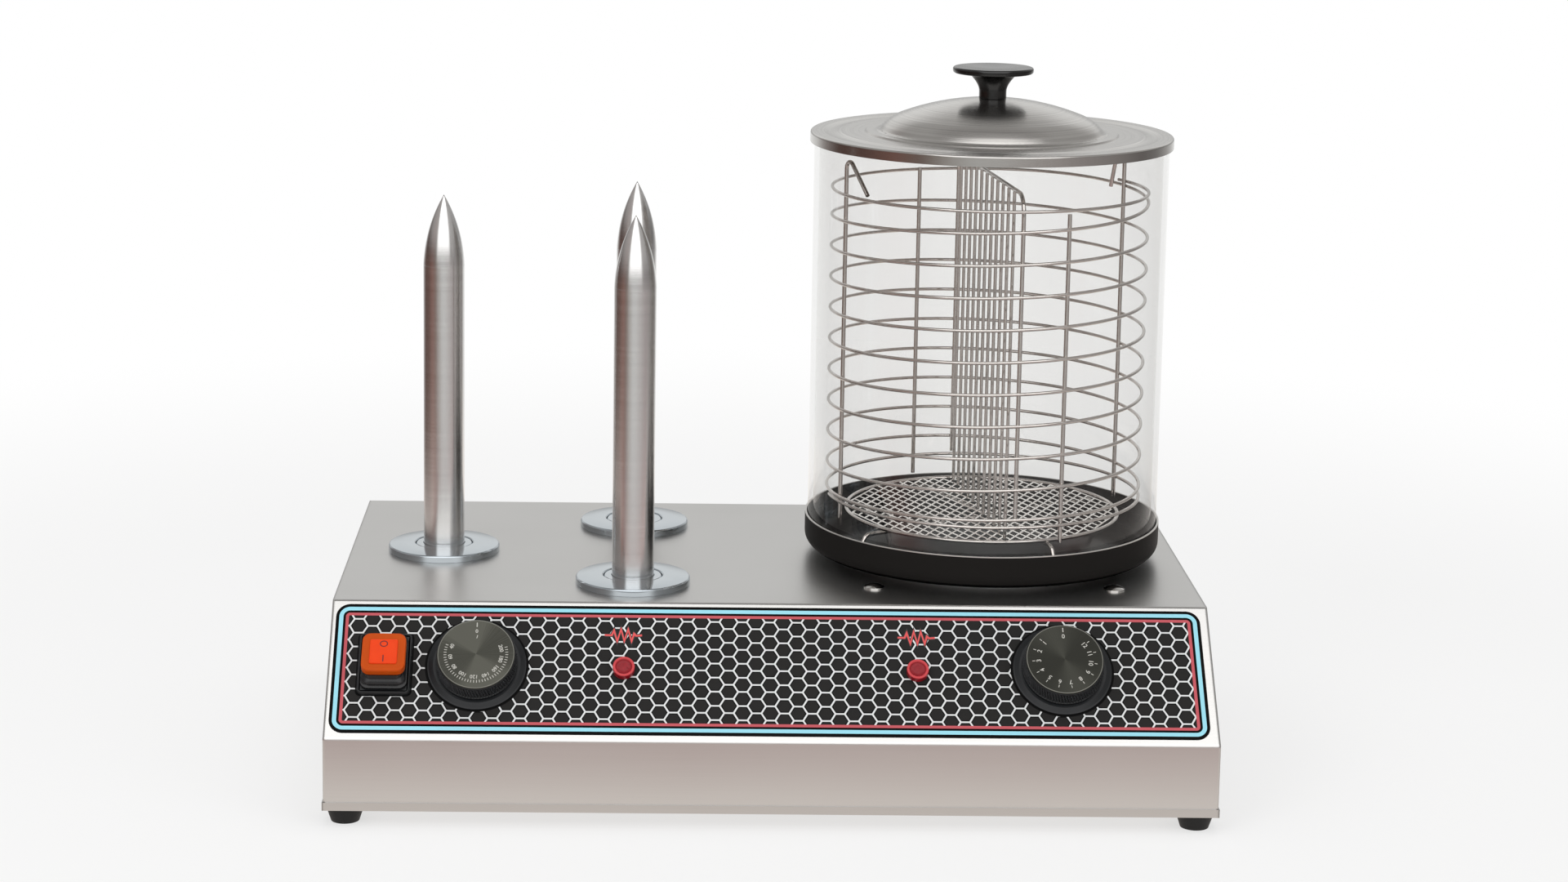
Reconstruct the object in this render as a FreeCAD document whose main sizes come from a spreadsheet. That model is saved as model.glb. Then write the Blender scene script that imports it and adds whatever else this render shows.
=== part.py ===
import FreeCAD, Part
import math
import os
import types

import Sketcher

# Counter hot dog steamer, in millimetres. +Z is up, the control panel faces -Y, and the origin is on
# the floor in the middle of the object's bounding box. The bun spikes stand left of the steamer.

SIZES = {
    # Folded steel housing
    "width": 500.0,
    "depth": 302.0,
    "foot_height": 9.0,
    "front_height": 41.5,
    "slope_run": 62.5,
    "slope_rise": 62.5,
    "sheet": 1.0,
    "fold_radius": 2.5,
    # Base tray and what fastens it
    "tray_sheet": 0.7,
    "tray_lip": 4.7,
    "tab_width": 30.0,
    "tab_height": 42.0,
    "side_screw_height": 41.0,
    "side_screw_inset": 22.0,
    "side_screw_head": 8.0,
    "side_screw_dome": 1.8,
    "side_screw_edge": 0.63,
    "tray_screw_thread": 4.0,
    "tray_screw_length": 8.0,
    # Feet
    "foot_inset_across": 11.3,
    "foot_inset_along": 11.5,
    "foot_top": 22.0,
    "foot_bottom": 16.0,
    "foot_pocket": 10.0,
    "foot_pocket_depth": 5.5,
    "foot_screw_head": 8.0,
    "foot_screw_head_height": 2.5,
    "foot_screw_length": 10.5,
    # Printed overlay on the sloping panel, measured up the slope from the front fold
    "overlay_sheet": 0.4,
    "overlay_left_margin": 2.6,
    "overlay_right_margin": 4.95,
    "overlay_start": 3.8,
    "overlay_length": 81.6,
    "overlay_corner": 8.0,
    "panel_row": 46.5,
    # Rocker switch; insets across are from the housing's nearer end wall
    "switch_inset": 32.0,
    "switch_frame_width": 30.3,
    "switch_frame_length": 38.6,
    "switch_frame_height": 2.1,
    "switch_frame_wall": 1.7,
    "switch_frame_corner": 2.0,
    "switch_body_width": 26.0,
    "switch_body_length": 34.0,
    "switch_body_depth": 28.0,
    "switch_body_recess": 0.525,
    "switch_cavity_width": 12.0,
    "switch_cavity_length": 18.0,
    "switch_cavity_depth": 8.0,
    "boot_width": 26.2,
    "boot_length": 32.6,
    "boot_steps": 4.0,
    "boot_pleat": 1.3,
    "boot_pleat_inset": 2.2,
    "boot_step": 1.6,
    "boot_opening_width": 13.0,
    "boot_opening_length": 17.0,
    "cap_width": 25.6,
    "cap_length": 26.0,
    "cap_height": 4.8,
    "cap_corner": 5.0,
    "cap_rise": 11.9,
    "cap_window_width": 16.5,
    "cap_window_length": 16.5,
    "cap_window_height": 0.6,
    "cap_window_corner": 0.8,
    "rocker_pivot_depth": 3.0,
    "rocker_stem_width": 8.0,
    "rocker_stem_length": 9.0,
    "rocker_stem_below": 3.5,
    "rocker_pin": 4.0,
    "rocker_pin_length": 18.0,
    "rocker_tilt": 4.0,
    # Thermostat and energy regulator
    "thermostat_inset": 83.8,
    "regulator_inset": 85.7,
    "bezel_diameter": 56.0,
    "bezel_height": 2.2,
    "bezel_chamfer": 0.8,
    "bush_diameter": 10.0,
    "bush_height": 1.9,
    "shaft_diameter": 6.0,
    "shaft_above": 11.0,
    "shaft_below": 12.0,
    "knob_diameter": 46.0,
    "knob_face_diameter": 44.5,
    "knob_gap": 0.4,
    "knob_top": 13.2,
    "knob_hollow": 38.0,
    "knob_hollow_depth": 5.0,
    "knob_hub": 14.0,
    "dial_plate_diameter": 43.6,
    "dial_plate_height": 0.8,
    "thermostat_case": 36.0,
    "thermostat_case_depth": 24.0,
    "regulator_case_width": 42.0,
    "regulator_case_length": 34.0,
    "regulator_case_depth": 30.0,
    # Indicator lamps
    "lamp_left_inset": 166.6,
    "lamp_right_inset": 167.7,
    "lamp_row": 44.7,
    "lamp_lens": 12.4,
    "lamp_lens_height": 4.2,
    "lamp_lens_chamfer": 0.5,
    "lamp_lens_rim": 1.4,
    "lamp_lens_well": 1.3,
    "lamp_lens_well_slope": 0.5,
    "lamp_stem": 9.8,
    "lamp_stem_depth": 22.0,
    "lamp_nut": 16.0,
    "lamp_nut_height": 3.0,
    # Bun spikes: places from the housing's left end wall and from its front face
    "spike_left_inset": 55.8,
    "spike_left_along": 178.6,
    "spike_front_inset": 170.7,
    "spike_front_along": 107.0,
    "spike_rear_inset": 170.3,
    "spike_rear_along": 243.3,
    "spike_diameter": 24.5,
    "spike_barrel": 171.9,
    "spike_tip": 41.8,
    "spike_nose": 3.0,
    "spike_seam_width": 0.6,
    "spike_seam_depth": 0.3,
    "heater_rod": 16.0,
    "heater_rod_length": 165.0,
    "heater_rod_below": 13.0,
    "spike_socket": 12.5,
    "seat_diameter": 34.2,
    "seat_height": 3.5,
    "seat_chamfer": 0.8,
    "seat_thread": 20.0,
    "seat_spigot": 12.0,
    "seat_tail": 16.0,
    "seat_nut": 32.3,
    "seat_nut_height": 7.0,
    "flange_diameter": 67.0,
    "flange_rim": 3.0,
    "flange_rim_chamfer": 0.7,
    "flange_rise": 2.0,
    "flange_hole_chamfer": 0.6,
    # Heater under the water pan, on the steamer's axis
    "steamer_inset": 118.5,
    "steamer_along": 185.0,
    "casting_diameter": 170.0,
    "casting_height": 4.3,
    "boss_diameter": 149.0,
    "boss_depth": 12.0,
    "element_ring": 120.0,
    "element_tube": 8.0,
    "element_gap_angle": 24.0,
    "clamp_width": 162.0,
    "clamp_length": 194.0,
    "clamp_sheet": 2.0,
    "pan_screw_across": 70.0,
    "pan_screw_along": 86.0,
    "pan_screw_head": 12.2,
    "pan_screw_dome": 2.8,
    "pan_screw_edge": 0.98,
    "pan_screw_thread": 5.0,
    "pan_nut": 9.2,
    "pan_nut_height": 4.0,
    "thread_end": 2.0,
    # Water pan: its lip stands round the glass, and the glass on its seat
    "pan_lip": 1.1,
    "pan_seat": 5.4,
    "pan_height": 19.9,
    "pan_floor": 3.0,
    "pan_corner": 8.0,
    "pan_ledge": 11.9,
    "pan_inner_corner": 5.0,
    "pan_stud": 8.0,
    "stud_nut": 15.0,
    "stud_nut_height": 6.5,
    # Glass cylinder
    "glass_diameter": 210.8,
    "glass_wall": 3.2,
    "glass_height": 240.0,
    # Rack standing in the pan
    "rack_wire": 2.5,
    "rack_gap": 7.38,
    "rack_mesh_top": 20.1,
    "rack_mesh_sheet": 1.2,
    "mesh_pitch_across": 5.3,
    "mesh_pitch_along": 11.0,
    "mesh_strand": 1.3,
    "rack_foot_gap": 2.25,
    "rack_foot_rise": 2.5,
    "rack_leg_lean": 25.0,
    "rack_bend_radius": 5.0,
    "rack_leg_angle": 113.0,
    "rack_low_leg_angle": 33.0,
    # Basket: one wound wire, four uprights and a divider
    "coil_wire": 2.0,
    "basket_gap": 7.0,
    "coil_top": 336.4,
    "coil_end": 151.4,
    "coil_turns": 11.556,
    "coil_start_angle": 28.0,
    "coil_lead_drop": 2.5,
    "coil_lead_ease": 4.0,
    "coil_step_drop": 3.5,
    "coil_step_turns": 0.28,
    "coil_tail_turns": 1.39,
    "coil_tail_drop": 6.2,
    "coil_tail_ease": 2.65,
    "upright_wire": 2.5,
    "hook_bend": 4.3,
    "front_hook_angle": 197.8,
    "front_hook_foot": 135.7,
    "front_hook_top": 355.7,
    "front_hook_width": 25.6,
    "front_hook_slant": 41.0,
    "rear_hook_angle": 22.3,
    "rear_hook_foot": 140.0,
    "rear_hook_top": 355.0,
    "rear_hook_width": 13.8,
    "rear_hook_slant": 75.0,
    "rear_post_angle": 112.6,
    "rear_post_foot": 142.0,
    "rear_post_top": 337.0,
    "front_post_angle": 294.2,
    "front_post_foot": 140.7,
    "front_post_top": 334.0,
    "divider_angle": 96.5,
    "divider_wire": 2.0,
    "divider_count": 11.0,
    "divider_pitch": 15.0,
    "divider_frame_foot": 155.0,
    "divider_frame_top": 345.5,
    "divider_frame_bend": 12.0,
    "weld_depth": 0.3,
    # Lid
    "lid_overhang": 2.5,
    "lid_sheet": 0.8,
    "lid_skirt": 6.2,
    "lid_edge_radius": 1.2,
    "lid_groove_inset": 12.9,
    "lid_groove_half": 5.0,
    "lid_groove_depth": 0.6,
    "lid_step_radius": 75.0,
    "lid_step_height": 0.8,
    "dome_height": 20.8,
    "dome_cap_radius": 150.6,
    "dome_cap_half": 56.0,
    "dome_shoulder_radius": 24.0,
    "dome_shoulder_angle": 54.0,
    "knob_seat_hole": 5.2,
    # Lid knob
    "lid_knob_neck": 16.3,
    "lid_knob_neck_height": 4.0,
    "lid_knob_throat": 27.0,
    "lid_knob_flare": 13.6,
    "lid_knob_disc": 48.0,
    "lid_knob_disc_foot": 14.8,
    "lid_knob_height": 18.6,
    "lid_knob_dish": 40.0,
    "lid_knob_dish_depth": 1.4,
    "lid_screw_thread": 5.0,
    "lid_screw_above": 12.0,
    "lid_screw_head": 10.0,
    "lid_screw_head_height": 3.0,
    # Cord inlet in the back wall, and wiring
    "gland_inset": 70.0,
    "gland_height": 46.0,
    "gland_flange": 24.0,
    "gland_flange_height": 4.0,
    "gland_dome": 19.0,
    "gland_out": 12.0,
    "gland_bore": 8.5,
    "gland_thread": 16.0,
    "gland_tail": 12.0,
    "gland_nut": 25.0,
    "gland_nut_height": 5.0,
    "terminal_inset": 130.0,
    "terminal_along": 262.0,
    "terminal_width": 44.0,
    "terminal_length": 20.0,
    "terminal_height": 18.0,
    "bulb_diameter": 6.0,
    "bulb_length": 76.0,
    "capillary_diameter": 2.0,
    "capillary_bend": 14.0,
    "capillary_run": 30.8,
    "capillary_lead": 49.28,
    # Reach of the cutters through the sheets, and clearances on the radius
    "cutter_reach": 6.0,
    "fixed_gap": 0.02,
    "running_gap": 0.08,
    "hole_gap": 0.25,
}

UP = FreeCAD.Vector(0, 0, 1)
doc = FreeCAD.newDocument("hot_dog_steamer")
nodes = []


class Size:
    """A length or an angle: its number, and the sheet formula that gives the number."""

    def __init__(self, value, text):
        self.value = value
        self.text = text

    def __add__(self, other):
        other = sized(other)
        return Size(self.value + other.value, f"({self.text} + {other.text})")

    def __sub__(self, other):
        other = sized(other)
        return Size(self.value - other.value, f"({self.text} - {other.text})")

    def __mul__(self, other):
        other = sized(other)
        return Size(self.value * other.value, f"({self.text} * {other.text})")

    def __truediv__(self, other):
        other = sized(other)
        return Size(self.value / other.value, f"({self.text} / {other.text})")

    def __radd__(self, other):
        return sized(other) + self

    def __rsub__(self, other):
        return sized(other) - self

    def __rmul__(self, other):
        return sized(other) * self

    def __rtruediv__(self, other):
        return sized(other) / self

    def __neg__(self):
        return Size(-self.value, f"(0 - {self.text})")


def sized(number):
    """A plain number as a Size."""
    if isinstance(number, Size):
        return number
    return Size(float(number), f"({float(number)})")


def root(size):
    """Square root."""
    return Size(math.sqrt(size.value), f"sqrt({size.text})")


def sine(degrees):
    """Sine of an angle in degrees."""
    degrees = sized(degrees)
    return Size(math.sin(math.radians(degrees.value)), f"sin({degrees.text})")


def cosine(degrees):
    """Cosine of an angle in degrees."""
    degrees = sized(degrees)
    return Size(math.cos(math.radians(degrees.value)), f"cos({degrees.text})")


def arc_tangent(ratio):
    """Angle in degrees whose tangent is the ratio."""
    return Size(math.degrees(math.atan(ratio.value)), f"(atan({ratio.text}) / 1 deg)")


def arc_sine(ratio):
    """Angle in degrees whose sine is the ratio."""
    return Size(math.degrees(math.asin(ratio.value)), f"(asin({ratio.text}) / 1 deg)")


def make_sheet():
    """Put every size in the sheet, and give the sizes by name."""
    sheet = doc.addObject("Spreadsheet::Sheet", "sizes")
    by_name = {}
    for row, (name, value) in enumerate(SIZES.items(), start=1):
        sheet.set(f"A{row}", name)
        sheet.set(f"B{row}", str(value))
        sheet.setAlias(f"B{row}", name)
        by_name[name] = Size(value, f"sizes.{name}")
    doc.recompute()
    return types.SimpleNamespace(**by_name)


s = make_sheet()

# Places that several pieces share
slope_length = root(s.slope_run * s.slope_run + s.slope_rise * s.slope_rise)
slope_cos = s.slope_run / slope_length
slope_sin = s.slope_rise / slope_length
slope_angle = arc_tangent(s.slope_rise / s.slope_run)
front_y = (s.tray_sheet - s.depth - s.gland_out) / 2
back_y = front_y + s.depth
shell_bottom = s.foot_height + s.tray_sheet
fold_z = s.foot_height + s.front_height
top_z = fold_z + s.slope_rise
left_end = s.width / -2
right_end = s.width / 2
switch_x = left_end + s.switch_inset
thermostat_x = left_end + s.thermostat_inset
lamp_left_x = left_end + s.lamp_left_inset
lamp_right_x = right_end - s.lamp_right_inset
regulator_x = right_end - s.regulator_inset
gland_x = right_end - s.gland_inset
terminal_x = right_end - s.terminal_inset
steamer_x = right_end - s.steamer_inset
steamer_y = front_y + s.steamer_along
pan_bottom = top_z + s.casting_height
pan_floor_top = pan_bottom + s.pan_floor
glass_bottom = pan_bottom + s.pan_ledge
glass_top = glass_bottom + s.glass_height
mesh_top = pan_floor_top + s.rack_mesh_top
boss_bottom = top_z - s.boss_depth
element_z = boss_bottom - s.element_tube / 2
clamp_top = element_z - s.element_tube / 2
clamp_bottom = clamp_top - s.clamp_sheet
lid_top = glass_top + s.lid_sheet
dome_top = lid_top + s.dome_height
glass_radius = s.glass_diameter / 2
pan_seat_radius = glass_radius + s.hole_gap * 2
well_radius = pan_seat_radius - s.pan_seat
coil_radius = glass_radius - s.glass_wall - s.basket_gap - s.coil_wire / 2
upright_radius = coil_radius - s.coil_wire / 2 - s.upright_wire / 2 - s.fixed_gap
rack_radius = upright_radius - s.upright_wire / 2 - s.rack_gap
rack_foot_radius = well_radius - s.pan_inner_corner - s.rack_foot_gap - s.rack_wire / 2
lid_radius = glass_radius + s.lid_overhang
spikes = {
    "left": (left_end + s.spike_left_inset, front_y + s.spike_left_along),
    "front": (left_end + s.spike_front_inset, front_y + s.spike_front_along),
    "rear": (left_end + s.spike_rear_inset, front_y + s.spike_rear_along),
}
spike_foot_z = top_z + s.seat_height
corners = [(side, end) for side in (-1, 1) for end in (-1, 1)]


class Outline:
    """A run of lines and arcs through points, each point a pair of sizes."""

    def __init__(self, x, y):
        self.points = [(sized(x), sized(y))]
        self.bends = []

    def to(self, x, y):
        """A line to the point."""
        self.points.append((sized(x), sized(y)))
        self.bends.append(None)
        return self

    def left(self, x, y, radius):
        """An arc to the point that turns left along its way."""
        self.points.append((sized(x), sized(y)))
        self.bends.append((sized(radius), True))
        return self

    def right(self, x, y, radius):
        """An arc to the point that turns right along its way."""
        self.points.append((sized(x), sized(y)))
        self.bends.append((sized(radius), False))
        return self


class WirePath(Outline):
    """The middle line of a bent wire, drawn as lengths ahead and turns of a steady radius."""

    def __init__(self, x, y, heading):
        super().__init__(x, y)
        self.heading = sized(heading)

    def ahead(self, length):
        """A straight length."""
        x, y = self.points[-1]
        return self.to(x + length * cosine(self.heading), y + length * sine(self.heading))

    def turn_right(self, radius, degrees):
        """An arc to the right."""
        x, y = self.points[-1]
        after = self.heading - degrees
        end_x = x + radius * (sine(self.heading) - sine(after))
        end_y = y - radius * (cosine(self.heading) - cosine(after))
        self.heading = after
        return self.right(end_x, end_y, radius)


def rectangle(left, low, across, along):
    """A rectangle from its low left corner."""
    outline = Outline(left, low)
    outline.to(left + across, low)
    outline.to(left + across, low + along)
    return outline.to(left, low + along)


def rounded_rectangle(across, along, radius, middle=0):
    """A rectangle with round corners about x = 0 and y = middle."""
    right = across / 2
    high = middle + along / 2
    low = middle - along / 2
    outline = Outline(radius - right, low)
    outline.to(right - radius, low)
    outline.left(right, low + radius, radius)
    outline.to(right, high - radius)
    outline.left(right - radius, high, radius)
    outline.to(radius - right, high)
    outline.left(-right, high - radius, radius)
    outline.to(-right, low + radius)
    return outline.left(radius - right, low, radius)


def number_point(point):
    """The point as a plain vector."""
    return FreeCAD.Vector(point[0].value, point[1].value, 0)


def arc_between(start, end, radius, turns_left):
    """The shorter arc of the radius from start to end."""
    chord = end - start
    side = FreeCAD.Vector(-chord.y, chord.x, 0).normalize()
    offset = math.sqrt(max(radius * radius - chord.Length * chord.Length / 4, 0))
    if not turns_left:
        offset = -offset
    middle = (start + end) / 2
    center = middle + side * offset
    first, last = (start, end) if turns_left else (end, start)
    first_angle = math.atan2(first.y - center.y, first.x - center.x)
    last_angle = math.atan2(last.y - center.y, last.x - center.x)
    return Part.ArcOfCircle(Part.Circle(center, UP, radius), first_angle, last_angle)


def draw_outline(sketch, outline, closed=True):
    """Draw the outline in the sketch, every point and radius held by a formula of the sheet."""
    points = list(outline.points)
    bends = list(outline.bends)
    first, last = number_point(points[0]), number_point(points[-1])
    if closed and first.distanceToPoint(last) < 1e-9:
        points.pop()
    elif closed:
        bends.append(None)
    vectors = [number_point(point) for point in points]
    first_index = sketch.GeometryCount
    ends = []
    for index, bend in enumerate(bends):
        start = vectors[index]
        end = vectors[(index + 1) % len(vectors)]
        if bend is None:
            geometry = Part.LineSegment(start, end)
            ends.append((first_index + index, 1, 2))
        else:
            geometry = arc_between(start, end, bend[0].value, bend[1])
            ends.append((first_index + index, 1, 2) if bend[1] else (first_index + index, 2, 1))
        sketch.addGeometry(geometry, False)
    constraints = []
    formulas = []
    for index, (edge, begin, _) in enumerate(ends):
        if index > 0 or closed:
            before, _, finish = ends[index - 1]
            constraints.append(Sketcher.Constraint("Coincident", before, finish, edge, begin))
        for name, size in zip(("DistanceX", "DistanceY"), points[index]):
            formulas.append((len(constraints), size))
            constraints.append(Sketcher.Constraint(name, -1, 1, edge, begin, size.value))
    if not closed:
        edge, _, finish = ends[-1]
        for name, size in zip(("DistanceX", "DistanceY"), points[-1]):
            formulas.append((len(constraints), size))
            constraints.append(Sketcher.Constraint(name, -1, 1, edge, finish, size.value))
    for (edge, _, _), bend in zip(ends, bends):
        if bend is not None:
            formulas.append((len(constraints), bend[0]))
            constraints.append(Sketcher.Constraint("Radius", edge, bend[0].value))
    already = sketch.ConstraintCount
    sketch.addConstraint(constraints)
    for index, size in formulas:
        sketch.setExpression(f"Constraints[{already + index}]", size.text)


def draw_circle(sketch, x, y, radius):
    """Draw a circle in the sketch, held by formulas of the sheet."""
    x, y, radius = sized(x), sized(y), sized(radius)
    circle = Part.Circle(FreeCAD.Vector(x.value, y.value, 0), UP, radius.value)
    edge = sketch.addGeometry(circle, False)
    already = sketch.ConstraintCount
    sketch.addConstraint(
        [
            Sketcher.Constraint("DistanceX", -1, 1, edge, 3, x.value),
            Sketcher.Constraint("DistanceY", -1, 1, edge, 3, y.value),
            Sketcher.Constraint("Radius", edge, radius.value),
        ]
    )
    for index, size in enumerate((x, y, radius)):
        sketch.setExpression(f"Constraints[{already + index}]", size.text)


def new_body(name):
    """An empty body with the name."""
    return doc.addObject("PartDesign::Body", name)


def new_sketch(body, plane, name):
    """A sketch on one of the body's own origin planes."""
    sketch = body.newObject("Sketcher::SketchObject", name)
    origin_plane = next(item for item in body.Origin.OriginFeatures if item.Role == plane)
    sketch.AttachmentSupport = (origin_plane, [""])
    sketch.MapMode = "FlatFace"
    return sketch


def turned(name, outline):
    """A body turned about its own Z from a half section of x (radius) and z."""
    body = new_body(name)
    sketch = new_sketch(body, "XZ_Plane", name + "_section")
    draw_outline(sketch, outline)
    revolution = body.newObject("PartDesign::Revolution", name + "_turned")
    revolution.Profile = sketch
    revolution.ReferenceAxis = (sketch, ["V_Axis"])
    revolution.Angle = 360
    body.Tip = revolution
    return body


def padded(name, outlines, height, plane="XY_Plane", symmetric=False):
    """A body padded from one or more outlines; inner outlines leave holes."""
    body = new_body(name)
    sketch = new_sketch(body, plane, name + "_outline")
    for outline in outlines:
        draw_outline(sketch, outline)
    pad = body.newObject("PartDesign::Pad", name + "_pad")
    pad.Profile = sketch
    pad.SideType = "Symmetric" if symmetric else "One side"
    pad.setExpression("Length", sized(height).text)
    body.Tip = pad
    return body


def piped(name, path, diameter):
    """A round wire along a path in the body's own XZ plane that starts up its Z axis."""
    body = new_body(name)
    spine = new_sketch(body, "XZ_Plane", name + "_path")
    draw_outline(spine, path, closed=False)
    section = new_sketch(body, "XY_Plane", name + "_section")
    draw_circle(section, 0, 0, diameter / 2)
    pipe = body.newObject("PartDesign::AdditivePipe", name + "_pipe")
    pipe.Profile = section
    pipe.Spine = spine
    body.Tip = pipe
    return body


def box(name, across, along, height):
    """A plain box from its low corner."""
    piece = doc.addObject("Part::Box", name)
    for side, size in zip(("Length", "Width", "Height"), (across, along, height)):
        piece.setExpression(side, sized(size).text)
    return piece


def cylinder(name, diameter, height):
    """A plain cylinder up its own Z."""
    piece = doc.addObject("Part::Cylinder", name)
    piece.setExpression("Radius", (sized(diameter) / 2).text)
    piece.setExpression("Height", sized(height).text)
    return piece


def hexagon(name, corner_diameter, height):
    """A hexagonal bar up its own Z."""
    piece = doc.addObject("Part::Prism", name)
    piece.Polygon = 6
    piece.setExpression("Circumradius", (corner_diameter / 2).text)
    piece.setExpression("Height", sized(height).text)
    return piece


def joined(name, pieces):
    """Pieces fused, or kept together where they don't touch."""
    fusion = doc.addObject("Part::MultiFuse", name)
    fusion.Shapes = pieces
    return fusion


def cut(name, base, tool):
    """The base without the tool."""
    difference = doc.addObject("Part::Cut", name)
    difference.Base = base
    difference.Tool = tool
    return difference


def put(piece, x, y, z, axis=None, degrees=None):
    """Place the piece, turned by the angle about the axis."""
    if axis is not None:
        degrees = sized(degrees)
        piece.Placement = FreeCAD.Placement(
            FreeCAD.Vector(0, 0, 0), FreeCAD.Rotation(FreeCAD.Vector(*axis), degrees.value)
        )
        piece.setExpression("Placement.Rotation.Angle", degrees.text)
    for name, size in zip("xyz", (x, y, z)):
        piece.setExpression("Placement.Base." + name, sized(size).text)
    return piece


def put_on_panel(piece, across, up_slope, height, extra_tilt=0):
    """Place the piece on the sloping panel, its own Z along the panel's outward normal."""
    y = front_y + up_slope * slope_cos - height * slope_sin
    z = fold_z + up_slope * slope_sin + height * slope_cos
    return put(piece, across, y, z, (1, 0, 0), slope_angle + extra_tilt)


def put_on_steamer(piece, z):
    """Place the piece on the steamer's axis."""
    return put(piece, steamer_x, steamer_y, z)


def node(name, piece):
    """Keep the piece as a sub-part of its own."""
    piece.Label = name
    nodes.append(piece)
    return piece


def dome_screw(name, head, edge, dome, thread, length):
    """A screw down its own Z, its head a low round edge under a dome above the plane z = 0."""
    rise = dome - edge
    outline = Outline(0, -length)
    outline.to(thread / 2, -length)
    outline.to(thread / 2, 0)
    outline.to(head / 2, 0)
    outline.to(head / 2, edge)
    outline.left(0, dome, (head * head / 4 + rise * rise) / (rise * 2))
    return turned(name, outline)


def hexagon_nut(name, corner_diameter, height, bore):
    """A hexagonal nut with a plain bore."""
    return cut(name, hexagon(name + "_bar", corner_diameter, height), cylinder(name + "_bore", bore, height))


def side_profile(inset):
    """The housing seen from its side, y and z, inside the outer skin by the inset."""
    radius = s.fold_radius - inset
    front = front_y + inset
    back = back_y - inset
    low_fold = fold_z - inset * (1 - slope_sin) / slope_cos
    high_fold = front_y + s.slope_run + inset * (1 - slope_cos) / slope_sin
    roof = top_z - inset
    low_reach = radius * slope_cos / (1 + slope_sin)
    high_reach = radius * slope_sin / (1 + slope_cos)
    outline = Outline(front, shell_bottom)
    outline.to(front, low_fold - low_reach)
    outline.right(front + low_reach * slope_cos, low_fold + low_reach * slope_sin, radius)
    outline.to(high_fold - high_reach * slope_cos, roof - high_reach * slope_sin)
    outline.right(high_fold + high_reach, roof, radius)
    outline.to(back - radius, roof)
    outline.right(back, roof - radius, radius)
    return outline.to(back, shell_bottom)


def panel_cutters():
    """What goes through the sloping panel and its overlay: the switch, two bushes and two lamps."""
    reach = s.cutter_reach
    width = s.switch_body_width + s.hole_gap * 2
    length = s.switch_body_length + s.hole_gap * 2
    opening = box("switch_opening", width, length, reach)
    put_on_panel(opening, switch_x - width / 2, s.panel_row - length / 2, -reach / 2)
    holes = [opening]
    rounds = {
        "thermostat_hole": (thermostat_x, s.panel_row, s.bush_diameter),
        "regulator_hole": (regulator_x, s.panel_row, s.bush_diameter),
        "lamp_left_hole": (lamp_left_x, s.lamp_row, s.lamp_stem),
        "lamp_right_hole": (lamp_right_x, s.lamp_row, s.lamp_stem),
    }
    for name, (across, row, diameter) in rounds.items():
        hole = cylinder(name, diameter + s.hole_gap * 2, reach)
        holes.append(put_on_panel(hole, across, row, -reach / 2))
    return joined("panel_cutters", holes)


def side_screw_places():
    """Side, y and place name of each screw in the housing's end walls."""
    for side in (-1, 1):
        yield side, front_y + s.side_screw_inset
        yield side, back_y - s.side_screw_inset


def housing(panel_tools):
    """The folded skin: front, slope, roof, back and end walls, open below."""
    body = padded("housing_skin", [side_profile(sized(0))], s.width, "YZ_Plane", True)
    inside = new_sketch(body, "YZ_Plane", "housing_inside")
    draw_outline(inside, side_profile(s.sheet))
    pocket = body.newObject("PartDesign::Pocket", "housing_hollow")
    pocket.Profile = inside
    pocket.SideType = "Symmetric"
    pocket.setExpression("Length", (s.width - s.sheet * 2).text)
    body.Tip = pocket
    reach = s.cutter_reach
    tools = [panel_tools]
    boss = cylinder("boss_hole", s.boss_diameter + s.hole_gap * 4, reach)
    tools.append(put_on_steamer(boss, top_z - reach / 2))
    for index, (side, end) in enumerate(corners):
        hole = cylinder(f"pan_screw_hole_{index}", s.pan_screw_thread + s.hole_gap * 2, reach)
        x = steamer_x + s.pan_screw_across * side
        y = steamer_y + s.pan_screw_along * end
        tools.append(put(hole, x, y, top_z - reach / 2))
    for name, (x, y) in spikes.items():
        hole = cylinder(f"spike_hole_{name}", s.seat_thread + s.hole_gap * 2, reach)
        tools.append(put(hole, x, y, top_z - reach / 2))
    gland = cylinder("gland_hole", s.gland_thread + s.hole_gap * 2, reach)
    tools.append(put(gland, gland_x, back_y + reach / 2, s.gland_height, (1, 0, 0), 90))
    for index, (side, y) in enumerate(side_screw_places()):
        hole = cylinder(f"side_screw_hole_{index}", s.tray_screw_thread + s.hole_gap * 2, reach)
        x = s.width / 2 * side - reach / 2
        tools.append(put(hole, x, y, s.side_screw_height, (0, 1, 0), 90))
    node("housing_shell", cut("housing_cut", body, joined("housing_tools", tools)))


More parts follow.
